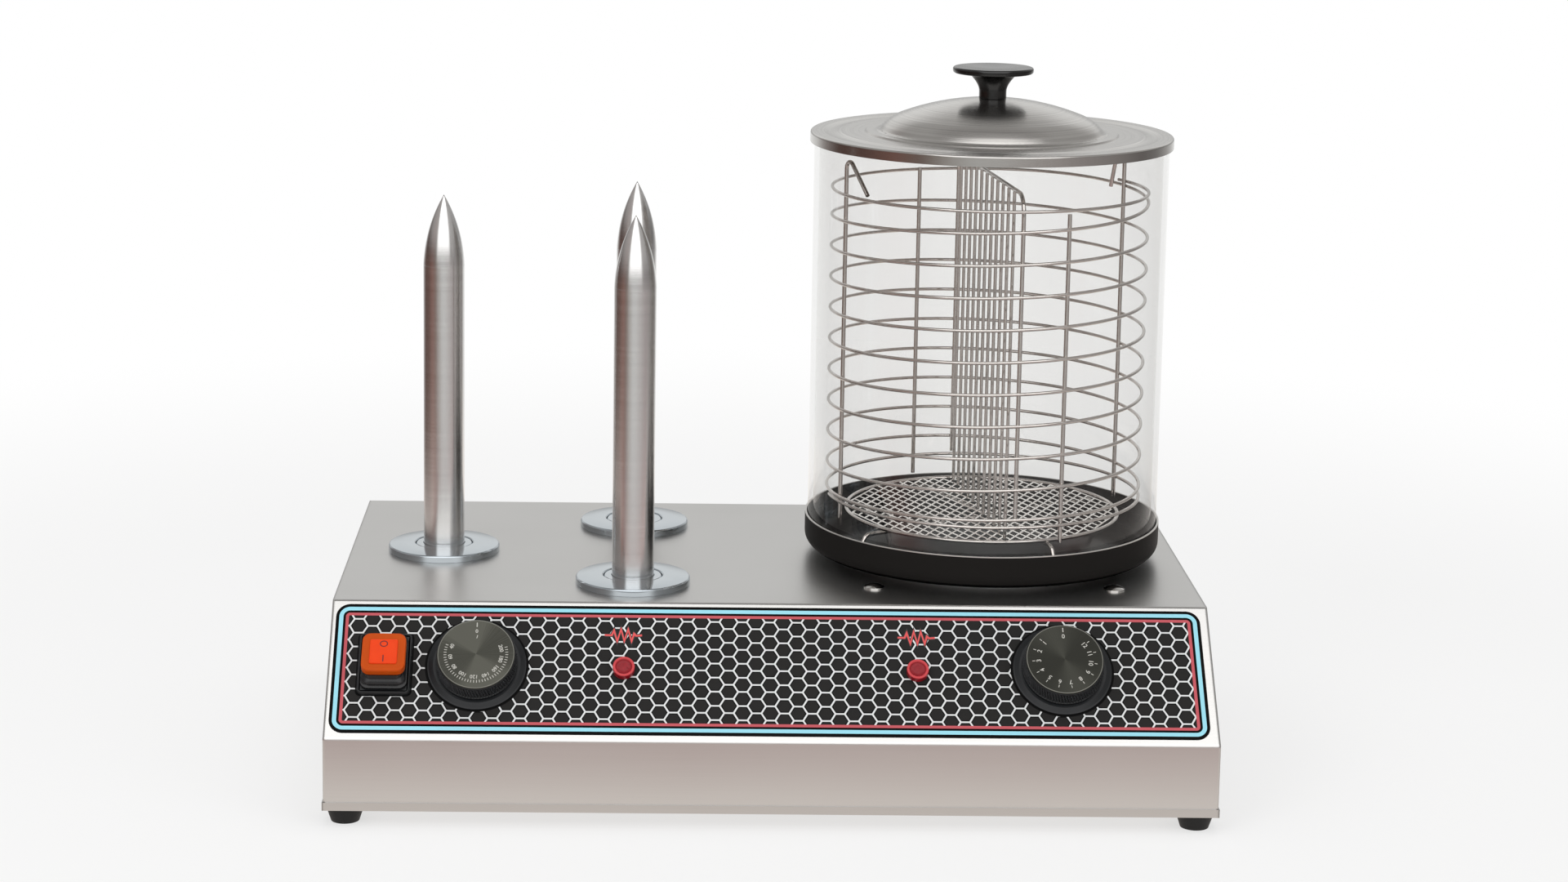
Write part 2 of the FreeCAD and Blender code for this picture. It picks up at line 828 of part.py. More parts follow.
def base_tray():
    """A flat tray with a short lip outside the housing and four screw tabs inside it."""
    across = s.width + s.tray_sheet * 2
    along = s.depth + s.tray_sheet * 2
    outer = box("tray_outer", across, along, s.tray_lip)
    put(outer, -across / 2, front_y - s.tray_sheet, s.foot_height)
    inner = box("tray_inner", s.width, s.depth, s.tray_lip)
    put(inner, -s.width / 2, front_y, shell_bottom)
    pieces = [cut("tray_pan", outer, inner)]
    for index, (side, y) in enumerate(side_screw_places()):
        tab = box(f"tray_tab_{index}", s.sheet, s.tab_width, s.tab_height)
        middle = (s.width / 2 - s.sheet * 1.5) * side
        pieces.append(put(tab, middle - s.sheet / 2, y - s.tab_width / 2, s.foot_height))
    holes = []
    for index, (side, y) in enumerate(side_screw_places()):
        hole = cylinder(f"tab_hole_{index}", s.tray_screw_thread + s.fixed_gap * 2, s.cutter_reach)
        x = s.width / 2 * side - s.cutter_reach / 2
        holes.append(put(hole, x, y, s.side_screw_height, (0, 1, 0), 90))
    for index, (x, y) in enumerate(foot_places()):
        hole = cylinder(f"foot_hole_{index}", s.tray_screw_thread + s.fixed_gap * 2, s.foot_height)
        holes.append(put(hole, x, y, s.foot_height / 2))
    body = joined("tray_and_tabs", pieces)
    node("base_tray", cut("tray_cut", body, joined("tray_holes", holes)))


def side_screws():
    """Four domed screws through the end walls into the tray's tabs."""
    screws = []
    for index, (side, y) in enumerate(side_screw_places()):
        screw = dome_screw(
            f"side_screw_{index}", s.side_screw_head, s.side_screw_edge, s.side_screw_dome,
            s.tray_screw_thread, s.tray_screw_length,
        )
        screws.append(put(screw, s.width / 2 * side, y, s.side_screw_height, (0, 1, 0), 90 * side))
    node("side_screws", joined("side_screw_set", screws))


def foot_places():
    """Middle of each foot: left front, left rear, right front, right rear."""
    for side in (-1, 1):
        x = (s.width / 2 - s.foot_inset_across) * side
        yield x, front_y + s.foot_inset_along
        yield x, back_y - s.foot_inset_along


def feet():
    """Four moulded feet and the screws in their pockets."""
    names = ("foot_front_left", "foot_rear_left", "foot_front_right", "foot_rear_right")
    bore = s.tray_screw_thread / 2 + s.hole_gap
    screws = []
    for name, (x, y) in zip(names, foot_places()):
        outline = Outline(s.foot_pocket / 2, 0)
        outline.to(s.foot_bottom / 2, 0)
        outline.to(s.foot_top / 2, s.foot_height)
        outline.to(bore, s.foot_height)
        outline.to(bore, s.foot_pocket_depth)
        outline.to(s.foot_pocket / 2, s.foot_pocket_depth)
        node(name, put(turned(name + "_body", outline), x, y, 0))
        screw = Outline(0, -s.foot_screw_head_height)
        screw.to(s.foot_screw_head / 2, -s.foot_screw_head_height)
        screw.to(s.foot_screw_head / 2, 0)
        screw.to(s.tray_screw_thread / 2, 0)
        screw.to(s.tray_screw_thread / 2, s.foot_screw_length)
        screw.to(0, s.foot_screw_length)
        screws.append(put(turned(name + "_screw", screw), x, y, s.foot_pocket_depth))
    node("foot_screws", joined("foot_screw_set", screws))


def fascia_overlay(panel_tools):
    """The printed sheet on the slope, with the panel's own holes."""
    middle = s.overlay_start + s.overlay_length / 2
    width = s.width - s.overlay_left_margin - s.overlay_right_margin
    across = (s.overlay_left_margin - s.overlay_right_margin) / 2
    outline = rounded_rectangle(width, s.overlay_length, s.overlay_corner, middle)
    sheet = put_on_panel(padded("overlay_sheet_body", [outline], s.overlay_sheet), across, 0, 0)
    node("fascia_overlay", cut("overlay_cut", sheet, panel_tools))


def switch():
    """The rocker switch: frame, body, bellows boot and tilting cap."""
    outer = rounded_rectangle(s.switch_frame_width, s.switch_frame_length, s.switch_frame_corner)
    inner_width = s.switch_frame_width - s.switch_frame_wall * 2
    inner_length = s.switch_frame_length - s.switch_frame_wall * 2
    inner = rectangle(-inner_width / 2, -inner_length / 2, inner_width, inner_length)
    frame = padded("switch_frame_body", [outer, inner], s.switch_frame_height)
    node("switch_frame", put_on_panel(frame, switch_x, s.panel_row, s.overlay_sheet))

    # The body's top lies just under the frame's top, and the boot stands on it
    body_top = s.overlay_sheet + s.switch_frame_height - s.switch_body_recess
    case = box("switch_case", s.switch_body_width, s.switch_body_length, s.switch_body_depth + body_top)
    put_on_panel(
        case, switch_x - s.switch_body_width / 2, s.panel_row - s.switch_body_length / 2,
        -s.switch_body_depth,
    )
    cavity_height = s.switch_cavity_depth + body_top
    cavity = box("switch_cavity", s.switch_cavity_width, s.switch_cavity_length, cavity_height)
    put_on_panel(
        cavity, switch_x - s.switch_cavity_width / 2, s.panel_row - s.switch_cavity_length / 2,
        -s.switch_cavity_depth,
    )
    pin_length = s.rocker_pin_length + s.hole_gap * 2
    bearing = cylinder("switch_bearing", s.rocker_pin + s.running_gap * 2, pin_length)
    pivot_y = front_y + s.panel_row * slope_cos + s.rocker_pivot_depth * slope_sin
    pivot_z = fold_z + s.panel_row * slope_sin - s.rocker_pivot_depth * slope_cos
    put(bearing, switch_x - pin_length / 2, pivot_y, pivot_z, (0, 1, 0), 90)
    node("switch_body", cut("switch_case_cut", case, joined("switch_hollows", [cavity, bearing])))

    # Bellows: wide and narrow steps by turns
    layers = []
    height = body_top
    for index in range(round(s.boot_steps.value)):
        narrow = index % 2
        width = s.boot_width - s.boot_pleat_inset * (index // 2) - s.boot_pleat * 2 * narrow
        length = s.boot_length - s.boot_pleat_inset * (index // 2) - s.boot_pleat * 2 * narrow
        step = s.boot_step / 2 if narrow else s.boot_step
        layer = box(f"boot_layer_{index}", width, length, step)
        put_on_panel(layer, switch_x - width / 2, s.panel_row - length / 2, height)
        layers.append(layer)
        height = height + step
    opening = box("boot_opening", s.boot_opening_width, s.boot_opening_length, height)
    put_on_panel(
        opening, switch_x - s.boot_opening_width / 2, s.panel_row - s.boot_opening_length / 2,
        s.overlay_sheet,
    )
    node("switch_boot", cut("boot_cut", joined("boot_layers", layers), opening))

    # The rocker is drawn about its pivot and rests with its upper end pressed in
    cap = padded(
        "rocker_cap", [rounded_rectangle(s.cap_width, s.cap_length, s.cap_corner)], s.cap_height
    )
    window = padded(
        "rocker_window",
        [rounded_rectangle(s.cap_window_width, s.cap_window_length, s.cap_window_corner)],
        s.cap_window_height,
    )
    put(cap, 0, 0, s.cap_rise)
    put(window, 0, 0, s.cap_rise + s.cap_height)
    stem = box("rocker_stem", s.rocker_stem_width, s.rocker_stem_length, s.cap_rise + s.rocker_stem_below)
    put(stem, -s.rocker_stem_width / 2, -s.rocker_stem_length / 2, -s.rocker_stem_below)
    pin = cylinder("rocker_pin_bar", s.rocker_pin, s.rocker_pin_length)
    put(pin, -s.rocker_pin_length / 2, 0, 0, (0, 1, 0), 90)
    rocker = joined("rocker_pieces", [cap, window, stem, pin])
    put_on_panel(rocker, switch_x, s.panel_row, -s.rocker_pivot_depth, -s.rocker_tilt)
    node("switch_rocker", rocker)


def rotary_control(name, across, case_width, case_length, case_depth):
    """A rotary control: bezel, body with its bush, shaft, knurled knob and dial plate."""
    base = s.overlay_sheet
    bush_hole = s.bush_diameter / 2 + s.hole_gap
    bezel = Outline(bush_hole, 0)
    bezel.to(s.bezel_diameter / 2, 0)
    bezel.to(s.bezel_diameter / 2, s.bezel_height - s.bezel_chamfer)
    bezel.to(s.bezel_diameter / 2 - s.bezel_chamfer, s.bezel_height)
    bezel.to(bush_hole, s.bezel_height)
    piece = turned(name + "_bezel_body", bezel)
    node(name + "_bezel", put_on_panel(piece, across, s.panel_row, base))

    case = box(name + "_case", case_width, case_length, case_depth)
    put_on_panel(
        case, across - case_width / 2, s.panel_row - case_length / 2, -s.sheet - case_depth
    )
    bush = cylinder(name + "_bush", s.bush_diameter, s.sheet + base + s.bush_height)
    put_on_panel(bush, across, s.panel_row, -s.sheet)
    bore = cylinder(
        name + "_bore", s.shaft_diameter + s.running_gap * 2, s.shaft_below + s.hole_gap + s.knob_top
    )
    put_on_panel(bore, across, s.panel_row, -s.shaft_below - s.hole_gap)
    node(name + "_body", cut(name + "_body_cut", joined(name + "_case_and_bush", [case, bush]), bore))

    shaft = cylinder(name + "_shaft_bar", s.shaft_diameter, s.shaft_below + s.shaft_above)
    node(name + "_shaft", put_on_panel(shaft, across, s.panel_row, -s.shaft_below))

    bottom = base + s.bezel_height + s.knob_gap
    shaft_hole = s.shaft_diameter / 2 + s.fixed_gap
    knob = Outline(shaft_hole, bottom)
    knob.to(s.knob_hub / 2, bottom)
    knob.to(s.knob_hub / 2, bottom + s.knob_hollow_depth)
    knob.to(s.knob_hollow / 2, bottom + s.knob_hollow_depth)
    knob.to(s.knob_hollow / 2, bottom)
    knob.to(s.knob_diameter / 2, bottom)
    knob.to(s.knob_face_diameter / 2, s.knob_top)
    knob.to(0, s.knob_top)
    knob.to(0, s.shaft_above)
    knob.to(shaft_hole, s.shaft_above)
    piece = turned(name + "_knob_body", knob)
    node(name + "_knob", put_on_panel(piece, across, s.panel_row, 0))

    plate = cylinder(name + "_dial_disc", s.dial_plate_diameter, s.dial_plate_height)
    node(name + "_dial", put_on_panel(plate, across, s.panel_row, s.knob_top))


def lamp(name, across):
    """An indicator lamp: rimmed lens with a shallow well over a stem with its nut behind the panel."""
    radius = s.lamp_lens / 2
    well = radius - s.lamp_lens_rim
    lens = Outline(0, 0)
    lens.to(radius, 0)
    lens.to(radius, s.lamp_lens_height - s.lamp_lens_chamfer)
    lens.to(radius - s.lamp_lens_chamfer, s.lamp_lens_height)
    lens.to(well, s.lamp_lens_height)
    lens.to(well - s.lamp_lens_well_slope, s.lamp_lens_height - s.lamp_lens_well)
    lens.to(0, s.lamp_lens_height - s.lamp_lens_well)
    piece = turned(name + "_lens_body", lens)
    node(name + "_lens", put_on_panel(piece, across, s.lamp_row, s.overlay_sheet))

    stem = Outline(0, -s.lamp_stem_depth)
    stem.to(s.lamp_stem / 2, -s.lamp_stem_depth)
    stem.to(s.lamp_stem / 2, -s.sheet - s.lamp_nut_height)
    stem.to(s.lamp_nut / 2, -s.sheet - s.lamp_nut_height)
    stem.to(s.lamp_nut / 2, -s.sheet)
    stem.to(s.lamp_stem / 2, -s.sheet)
    stem.to(s.lamp_stem / 2, s.overlay_sheet)
    stem.to(0, s.overlay_sheet)
    piece = turned(name + "_stem", stem)
    node(name + "_body", put_on_panel(piece, across, s.lamp_row, 0))


def spike_outline():
    """Half section of a spike: barrel with a fine seam, and a tip that ends in a small round nose."""
    radius = s.spike_diameter / 2
    rod_bore = s.heater_rod / 2 + s.hole_gap
    socket = s.seat_thread / 2 + s.fixed_gap
    socket_top = s.spike_socket
    bore_top = s.heater_rod_length - s.heater_rod_below + s.hole_gap
    reach = s.spike_tip - s.spike_nose
    narrowing = radius - s.spike_nose
    flank = (radius * radius + reach * reach - s.spike_nose * s.spike_nose) / (narrowing * 2)
    nose_x = radius - flank + flank * (flank - radius) / (flank - s.spike_nose)
    nose_z = s.spike_barrel + flank * reach / (flank - s.spike_nose)
    seam = s.spike_barrel - s.spike_seam_width
    outline = Outline(socket, 0)
    outline.to(radius, 0)
    outline.to(radius, seam)
    outline.to(radius - s.spike_seam_depth, seam)
    outline.to(radius - s.spike_seam_depth, s.spike_barrel)
    outline.to(radius, s.spike_barrel)
    outline.left(nose_x, nose_z, flank)
    outline.left(0, s.spike_barrel + s.spike_tip, s.spike_nose)
    outline.to(0, bore_top)
    outline.to(rod_bore, bore_top)
    outline.to(rod_bore, socket_top)
    return outline.to(socket, socket_top)


def spike_set():
    """Three spikes, each on a hollow threaded seat in a coned flange ring, with a heater rod inside."""
    seats = []
    nuts = []
    for name, (x, y) in spikes.items():
        node("spike_" + name, put(turned(f"spike_{name}_body", spike_outline()), x, y, spike_foot_z))

        rim = s.flange_diameter / 2
        hole = s.seat_diameter / 2 + s.hole_gap
        crown = s.flange_rim + s.flange_rise
        flange = Outline(hole, 0)
        flange.to(rim, 0)
        flange.to(rim, s.flange_rim - s.flange_rim_chamfer)
        flange.to(rim - s.flange_rim_chamfer, s.flange_rim)
        flange.to(hole + s.flange_hole_chamfer, crown)
        flange.to(hole, crown - s.flange_hole_chamfer)
        piece = turned(f"spike_flange_{name}_body", flange)
        node("spike_flange_" + name, put(piece, x, y, top_z))

        bore = s.heater_rod / 2 + s.running_gap
        seat = Outline(bore, -s.seat_tail)
        seat.to(s.seat_thread / 2, -s.seat_tail)
        seat.to(s.seat_thread / 2, 0)
        seat.to(s.seat_diameter / 2, 0)
        seat.to(s.seat_diameter / 2, s.seat_height - s.seat_chamfer)
        seat.to(s.seat_diameter / 2 - s.seat_chamfer, s.seat_height)
        seat.to(s.seat_thread / 2, s.seat_height)
        seat.to(s.seat_thread / 2, s.seat_height + s.seat_spigot)
        seat.to(bore, s.seat_height + s.seat_spigot)
        seats.append(put(turned(f"seat_{name}", seat), x, y, top_z))

        nut = hexagon_nut(
            f"seat_nut_{name}", s.seat_nut, s.seat_nut_height, s.seat_thread + s.fixed_gap * 2
        )
        nuts.append(put(nut, x, y, top_z - s.sheet - s.seat_nut_height))

        rod = cylinder(f"spike_rod_{name}", s.heater_rod, s.heater_rod_length)
        node("spike_heater_" + name, put(rod, x, y, spike_foot_z - s.heater_rod_below))
    node("spike_seats", joined("seat_set", seats))
    node("spike_nuts", joined("seat_nut_set", nuts))


def pan_heater():
    """Cast plate under the pan, ring element, clamp plate, and the screws and nuts that hold them."""
    stud_bore = s.pan_stud / 2 + s.hole_gap
    casting = Outline(stud_bore, -s.boss_depth)
    casting.to(s.boss_diameter / 2, -s.boss_depth)
    casting.to(s.boss_diameter / 2, 0)
    casting.to(s.casting_diameter / 2, 0)
    casting.to(s.casting_diameter / 2, s.casting_height)
    casting.to(stud_bore, s.casting_height)
    node("heater_plate", put_on_steamer(turned("casting", casting), top_z))

    ring = doc.addObject("Part::Torus", "element_torus")
    ring.setExpression("Radius1", (s.element_ring / 2).text)
    ring.setExpression("Radius2", (s.element_tube / 2 - s.fixed_gap).text)
    ring.setExpression("Angle3", (360 - s.element_gap_angle).text)
    node("ring_element", put_on_steamer(ring, element_z))

    plate = box("clamp_sheet_box", s.clamp_width, s.clamp_length, s.clamp_sheet)
    put(plate, steamer_x - s.clamp_width / 2, steamer_y - s.clamp_length / 2, clamp_bottom)
    stud_hole = cylinder("clamp_stud_hole", stud_bore * 2, s.clamp_sheet)
    holes = [put_on_steamer(stud_hole, clamp_bottom)]
    screws = []
    nuts = []
    screw_length = top_z - clamp_bottom + s.pan_nut_height + s.thread_end
    for index, (side, end) in enumerate(corners):
        x = steamer_x + s.pan_screw_across * side
        y = steamer_y + s.pan_screw_along * end
        hole = cylinder(f"clamp_hole_{index}", s.pan_screw_thread + s.hole_gap * 2, s.clamp_sheet)
        holes.append(put(hole, x, y, clamp_bottom))
        screw = dome_screw(
            f"pan_screw_{index}", s.pan_screw_head, s.pan_screw_edge, s.pan_screw_dome,
            s.pan_screw_thread, screw_length,
        )
        screws.append(put(screw, x, y, top_z))
        nut = hexagon_nut(
            f"pan_nut_{index}", s.pan_nut, s.pan_nut_height, s.pan_screw_thread + s.fixed_gap * 2
        )
        nuts.append(put(nut, x, y, clamp_bottom - s.pan_nut_height))
    node("element_clamp", cut("clamp_cut", plate, joined("clamp_holes", holes)))
    node("pan_screws", joined("pan_screw_set", screws))
    node("pan_nuts", joined("pan_nut_set", nuts))
    stud_nut = hexagon_nut("stud_nut_cut", s.stud_nut, s.stud_nut_height, s.pan_stud + s.fixed_gap * 2)
    node("stud_nut", put_on_steamer(stud_nut, clamp_bottom - s.stud_nut_height))


def water_pan():
    """The pan: round-cornered wall, a ledge for the glass, a lower floor and a stud below."""
    outer = pan_seat_radius + s.pan_lip
    well = well_radius
    floor = s.pan_floor
    stud_end = clamp_bottom - pan_bottom - s.stud_nut_height - s.thread_end
    outline = Outline(0, stud_end)
    outline.to(s.pan_stud / 2, stud_end)
    outline.to(s.pan_stud / 2, 0)
    outline.to(outer - s.pan_corner, 0)
    outline.left(outer, s.pan_corner, s.pan_corner)
    outline.to(outer, s.pan_height)
    outline.to(pan_seat_radius, s.pan_height)
    outline.to(pan_seat_radius, s.pan_ledge)
    outline.to(well, s.pan_ledge)
    outline.to(well, floor + s.pan_inner_corner)
    outline.right(well - s.pan_inner_corner, floor, s.pan_inner_corner)
    outline.to(0, floor)
    node("water_pan", put_on_steamer(turned("pan_body", outline), pan_bottom))


def glass_cylinder():
    """The straight glass wall that stands on the pan's ledge."""
    section = rectangle(glass_radius - s.glass_wall, 0, s.glass_wall, s.glass_height)
    node("glass_cylinder", put_on_steamer(turned("glass_body", section), glass_bottom))


def mesh_sheet():
    """The rack's expanded sheet: a disc with staggered diamond holes, kept whole at the edge."""
    radius = rack_radius.value - s.rack_wire.value - s.fixed_gap.value
    across = s.mesh_pitch_across.value
    along = s.mesh_pitch_along.value
    strand = s.mesh_strand.value
    half_width = across / 2 - strand / 2
    half_length = along * half_width / (across / 2)
    rows = int(radius / along) + 1
    columns = int(radius / across) + 1
    wires = [Part.Wire([Part.makeCircle(radius)])]
    for row in range(-rows, rows + 1):
        shift = (row % 2) * across / 2
        for column in range(-columns, columns + 1):
            x = column * across + shift
            y = row * along
            tips = [(x + half_width, y), (x, y + half_length), (x - half_width, y), (x, y - half_length)]
            if max(math.hypot(*tip) for tip in tips) < radius - strand:
                points = [FreeCAD.Vector(px, py, 0) for px, py in tips]
                wires.append(Part.makePolygon(points + points[:1]))
    print("mesh gaps:", len(wires) - 1)
    face = Part.Face(wires, "Part::FaceMakerBullseye")
    return face.extrude(UP * s.rack_mesh_sheet.value)


def leg_path(height):
    """One cross wire of the rack in its own plane: foot, leaning leg, straight run, leg, foot."""
    lean = s.rack_leg_lean
    bend = s.rack_bend_radius
    rise = height - s.rack_foot_rise - bend * sine(lean) - bend * (1 - sine(lean))
    lean_length = rise / cosine(lean)
    reach = bend * (1 - cosine(lean)) + lean_length * sine(lean) + bend * cosine(lean)
    path = WirePath(0, 0, 90)
    path.ahead(s.rack_foot_rise)
    path.turn_right(bend, lean)
    path.ahead(lean_length)
    path.turn_right(bend, 90 - lean)
    path.ahead((rack_foot_radius - reach) * 2)
    path.turn_right(bend, 90 - lean)
    path.ahead(lean_length)
    path.turn_right(bend, lean)
    return path.ahead(s.rack_foot_rise)


def rack():
    """Rack in the pan: expanded sheet in a ring of wire, on two cross wires bent into four legs."""
    sheet = doc.addObject("Part::Feature", "mesh_feature")
    sheet.Shape = mesh_sheet()
    node("rack_mesh", put_on_steamer(sheet, mesh_top - s.rack_mesh_sheet))

    ring = doc.addObject("Part::Torus", "rack_torus")
    ring.setExpression("Radius1", (rack_radius - s.rack_wire / 2).text)
    ring.setExpression("Radius2", (s.rack_wire / 2).text)
    node("rack_ring", put_on_steamer(ring, mesh_top - s.rack_mesh_sheet / 2))

    # The upper cross wire touches the ring from below, and the lower one crosses under it
    upper = mesh_top - s.rack_mesh_sheet / 2 - s.rack_wire - s.fixed_gap
    legs = []
    lower = upper - s.rack_wire
    wires = {"upper": (upper, s.rack_leg_angle), "lower": (lower, s.rack_low_leg_angle)}
    for name, (height, angle) in wires.items():
        wire = piped(f"rack_wire_{name}", leg_path(height - pan_floor_top), s.rack_wire)
        legs.append(around_steamer(wire, angle + 180, rack_foot_radius, pan_floor_top, angle))
    node("rack_legs", joined("rack_leg_pair", legs))


def coil_height(turns):
    """Height of the coil's middle line after so many turns from its upper end."""
    lead_end = s.coil_top.value - s.coil_lead_drop.value
    tail_start_turns = s.coil_turns.value - s.coil_tail_turns.value
    tail_top = s.coil_end.value + s.coil_tail_drop.value
    if turns <= 1:
        return s.coil_top.value - s.coil_lead_drop.value * turns ** s.coil_lead_ease.value
    if turns >= tail_start_turns:
        left = (s.coil_turns.value - turns) / s.coil_tail_turns.value
        return s.coil_end.value + s.coil_tail_drop.value * max(left, 0) ** s.coil_tail_ease.value
    stepped = min((turns - 1) / s.coil_step_turns.value, 1)
    step = s.coil_step_drop.value * (1 - (1 - stepped) ** 2)
    fall = lead_end - s.coil_step_drop.value - tail_top
    return lead_end - step - fall * (turns - 1) / (tail_start_turns - 1)


def coil_point(turns):
    """Point of the coil's middle line, which winds down clockwise seen from above."""
    angle = math.radians(s.coil_start_angle.value) - 2 * math.pi * turns
    radius = coil_radius.value
    return FreeCAD.Vector(radius * math.cos(angle), radius * math.sin(angle), coil_height(turns))


def coil_direction(turns):
    """Direction of the coil's middle line."""
    step = 0.05
    return (coil_point(turns + step) - coil_point(turns - step)).normalize()


def tangent_arc(start, corner, end):
    """The arc from start to end whose end tangents meet at the corner."""
    middle = (start + end) / 2
    half_chord = (end - start).Length / 2
    rise = corner - middle
    sagitta = half_chord * (math.hypot(half_chord, rise.Length) - half_chord) / rise.Length
    return Part.Arc(start, middle + rise.normalize() * sagitta, end)


def biarc(start, start_direction, end, end_direction):
    """Two arcs that leave start and reach end in the given directions."""
    chord = end - start
    directions = start_direction + end_direction
    spread = 2 * (1 - start_direction.dot(end_direction))
    along = chord.dot(directions)
    reach = (math.sqrt(along * along + spread * chord.dot(chord)) - along) / spread
    first = start + start_direction * reach
    second = end - end_direction * reach
    joint = (first + second) / 2
    return [tangent_arc(start, first, joint), tangent_arc(joint, second, end)]


def wound_wire():
    """The basket's wall: one unbroken wire wound from quarter turns."""
    quarters = int(s.coil_turns.value * 4)
    stops = [index / 4 for index in range(quarters + 1)]
    least_part = 0.05
    if s.coil_turns.value - stops[-1] > least_part:
        stops.append(s.coil_turns.value)
    edges = []
    for before, after in zip(stops, stops[1:]):
        ends = coil_point(before), coil_direction(before), coil_point(after), coil_direction(after)
        edges += [arc.toShape() for arc in biarc(*ends)]
    spine = Part.Wire(edges)
    section = Part.Wire([Part.makeCircle(s.coil_wire.value / 2, coil_point(0), coil_direction(0))])
    shell = Part.BRepOffsetAPI.MakePipeShell(spine)
    shell.add(section, False, False)
    shell.build()
    shell.makeSolid()
    print("coil least gap to itself:", round(coil_least_gap(edges), 3))
    return shell.shape()


def coil_least_gap(edges):
    """Least gap between one turn of the wire and another, measured on points of its middle line."""
    samples = 12
    points = []
    for edge in edges:
        low, high = edge.ParameterRange
        points += [edge.valueAt(low + (high - low) * index / samples) for index in range(samples)]
    half_turn = samples * 4
    least = min(
        points[first].distanceToPoint(points[second])
        for first in range(len(points))
        for second in range(first + half_turn, min(first + half_turn * 3, len(points)))
    )
    return least - s.coil_wire.value


def hook_path(foot, top, width, slant):
    """An upright with a hook: up, over a small bend, and slanting down to the coil's upper end."""
    bend = s.hook_bend
    rise = top - foot - bend
    turned_by = 90 + slant
    path = WirePath(0, 0, 90)
    path.ahead(rise)
    path.turn_right(bend, turned_by)
    across = width - bend - bend * sine(slant)
    return path.ahead(across / cosine(slant))


def around_steamer(piece, angle, radius, z, turn=None):
    """Place the piece at an angle and radius about the steamer's axis."""
    x = steamer_x + radius * cosine(angle)
    y = steamer_y + radius * sine(angle)
    if turn is None:
        return put(piece, x, y, z)
    return put(piece, x, y, z, (0, 0, 1), turn)


def basket():
    """The lift-out basket: wound wire, two hooked uprights, two plain ones and the divider."""
    coil = doc.addObject("Part::Feature", "coil_feature")
    coil.Shape = wound_wire()
    node("basket_coil", put_on_steamer(coil, 0))

    hooks = []
    sets = {
        "front": (s.front_hook_angle, s.front_hook_foot, s.front_hook_top, s.front_hook_width,
                  s.front_hook_slant),
        "rear": (s.rear_hook_angle, s.rear_hook_foot, s.rear_hook_top, s.rear_hook_width,
                 s.rear_hook_slant),
    }
    for name, (angle, foot, top, width, slant) in sets.items():
        wire = piped(f"hook_{name}", hook_path(foot, top, width, slant), s.upright_wire)
        half_span = arc_sine(width / upright_radius / 2)
        hooks.append(around_steamer(wire, angle, upright_radius, foot, angle + half_span + 90))
    node("basket_hooks", joined("hook_pair", hooks))

    posts = []
    sets = {
        "front": (s.front_post_angle, s.front_post_foot, s.front_post_top),
        "rear": (s.rear_post_angle, s.rear_post_foot, s.rear_post_top),
    }
    for name, (angle, foot, top) in sets.items():
        post = cylinder(f"post_{name}", s.upright_wire, top - foot)
        posts.append(around_steamer(post, angle, upright_radius, foot))
    node("basket_posts", joined("post_pair", posts))

    # The divider's frame stands inside the coil, and its upright wires are welded to one face of it
    rise = s.divider_frame_top - s.divider_frame_foot - s.divider_frame_bend
    frame = WirePath(0, 0, 90)
    frame.ahead(rise)
    frame.turn_right(s.divider_frame_bend, 90)
    frame.ahead((upright_radius - s.divider_frame_bend) * 2)
    frame.turn_right(s.divider_frame_bend, 90)
    frame.ahead(rise)
    rail = piped("divider_frame", frame, s.upright_wire)
    around_steamer(rail, s.divider_angle + 180, upright_radius, s.divider_frame_foot, s.divider_angle)
    pieces = [rail]
    offset = (s.upright_wire + s.divider_wire) / 2 - s.weld_depth
    for index in range(round(s.divider_count.value)):
        along = s.divider_pitch * (index - (round(s.divider_count.value) - 1) / 2)
        wire = cylinder(f"divider_wire_{index}", s.divider_wire, s.divider_frame_top - mesh_top)
        x = steamer_x + along * cosine(s.divider_angle) - offset * sine(s.divider_angle)
        y = steamer_y + along * sine(s.divider_angle) + offset * cosine(s.divider_angle)
        pieces.append(put(wire, x, y, mesh_top))
    node("basket_divider", joined("divider_pieces", pieces))


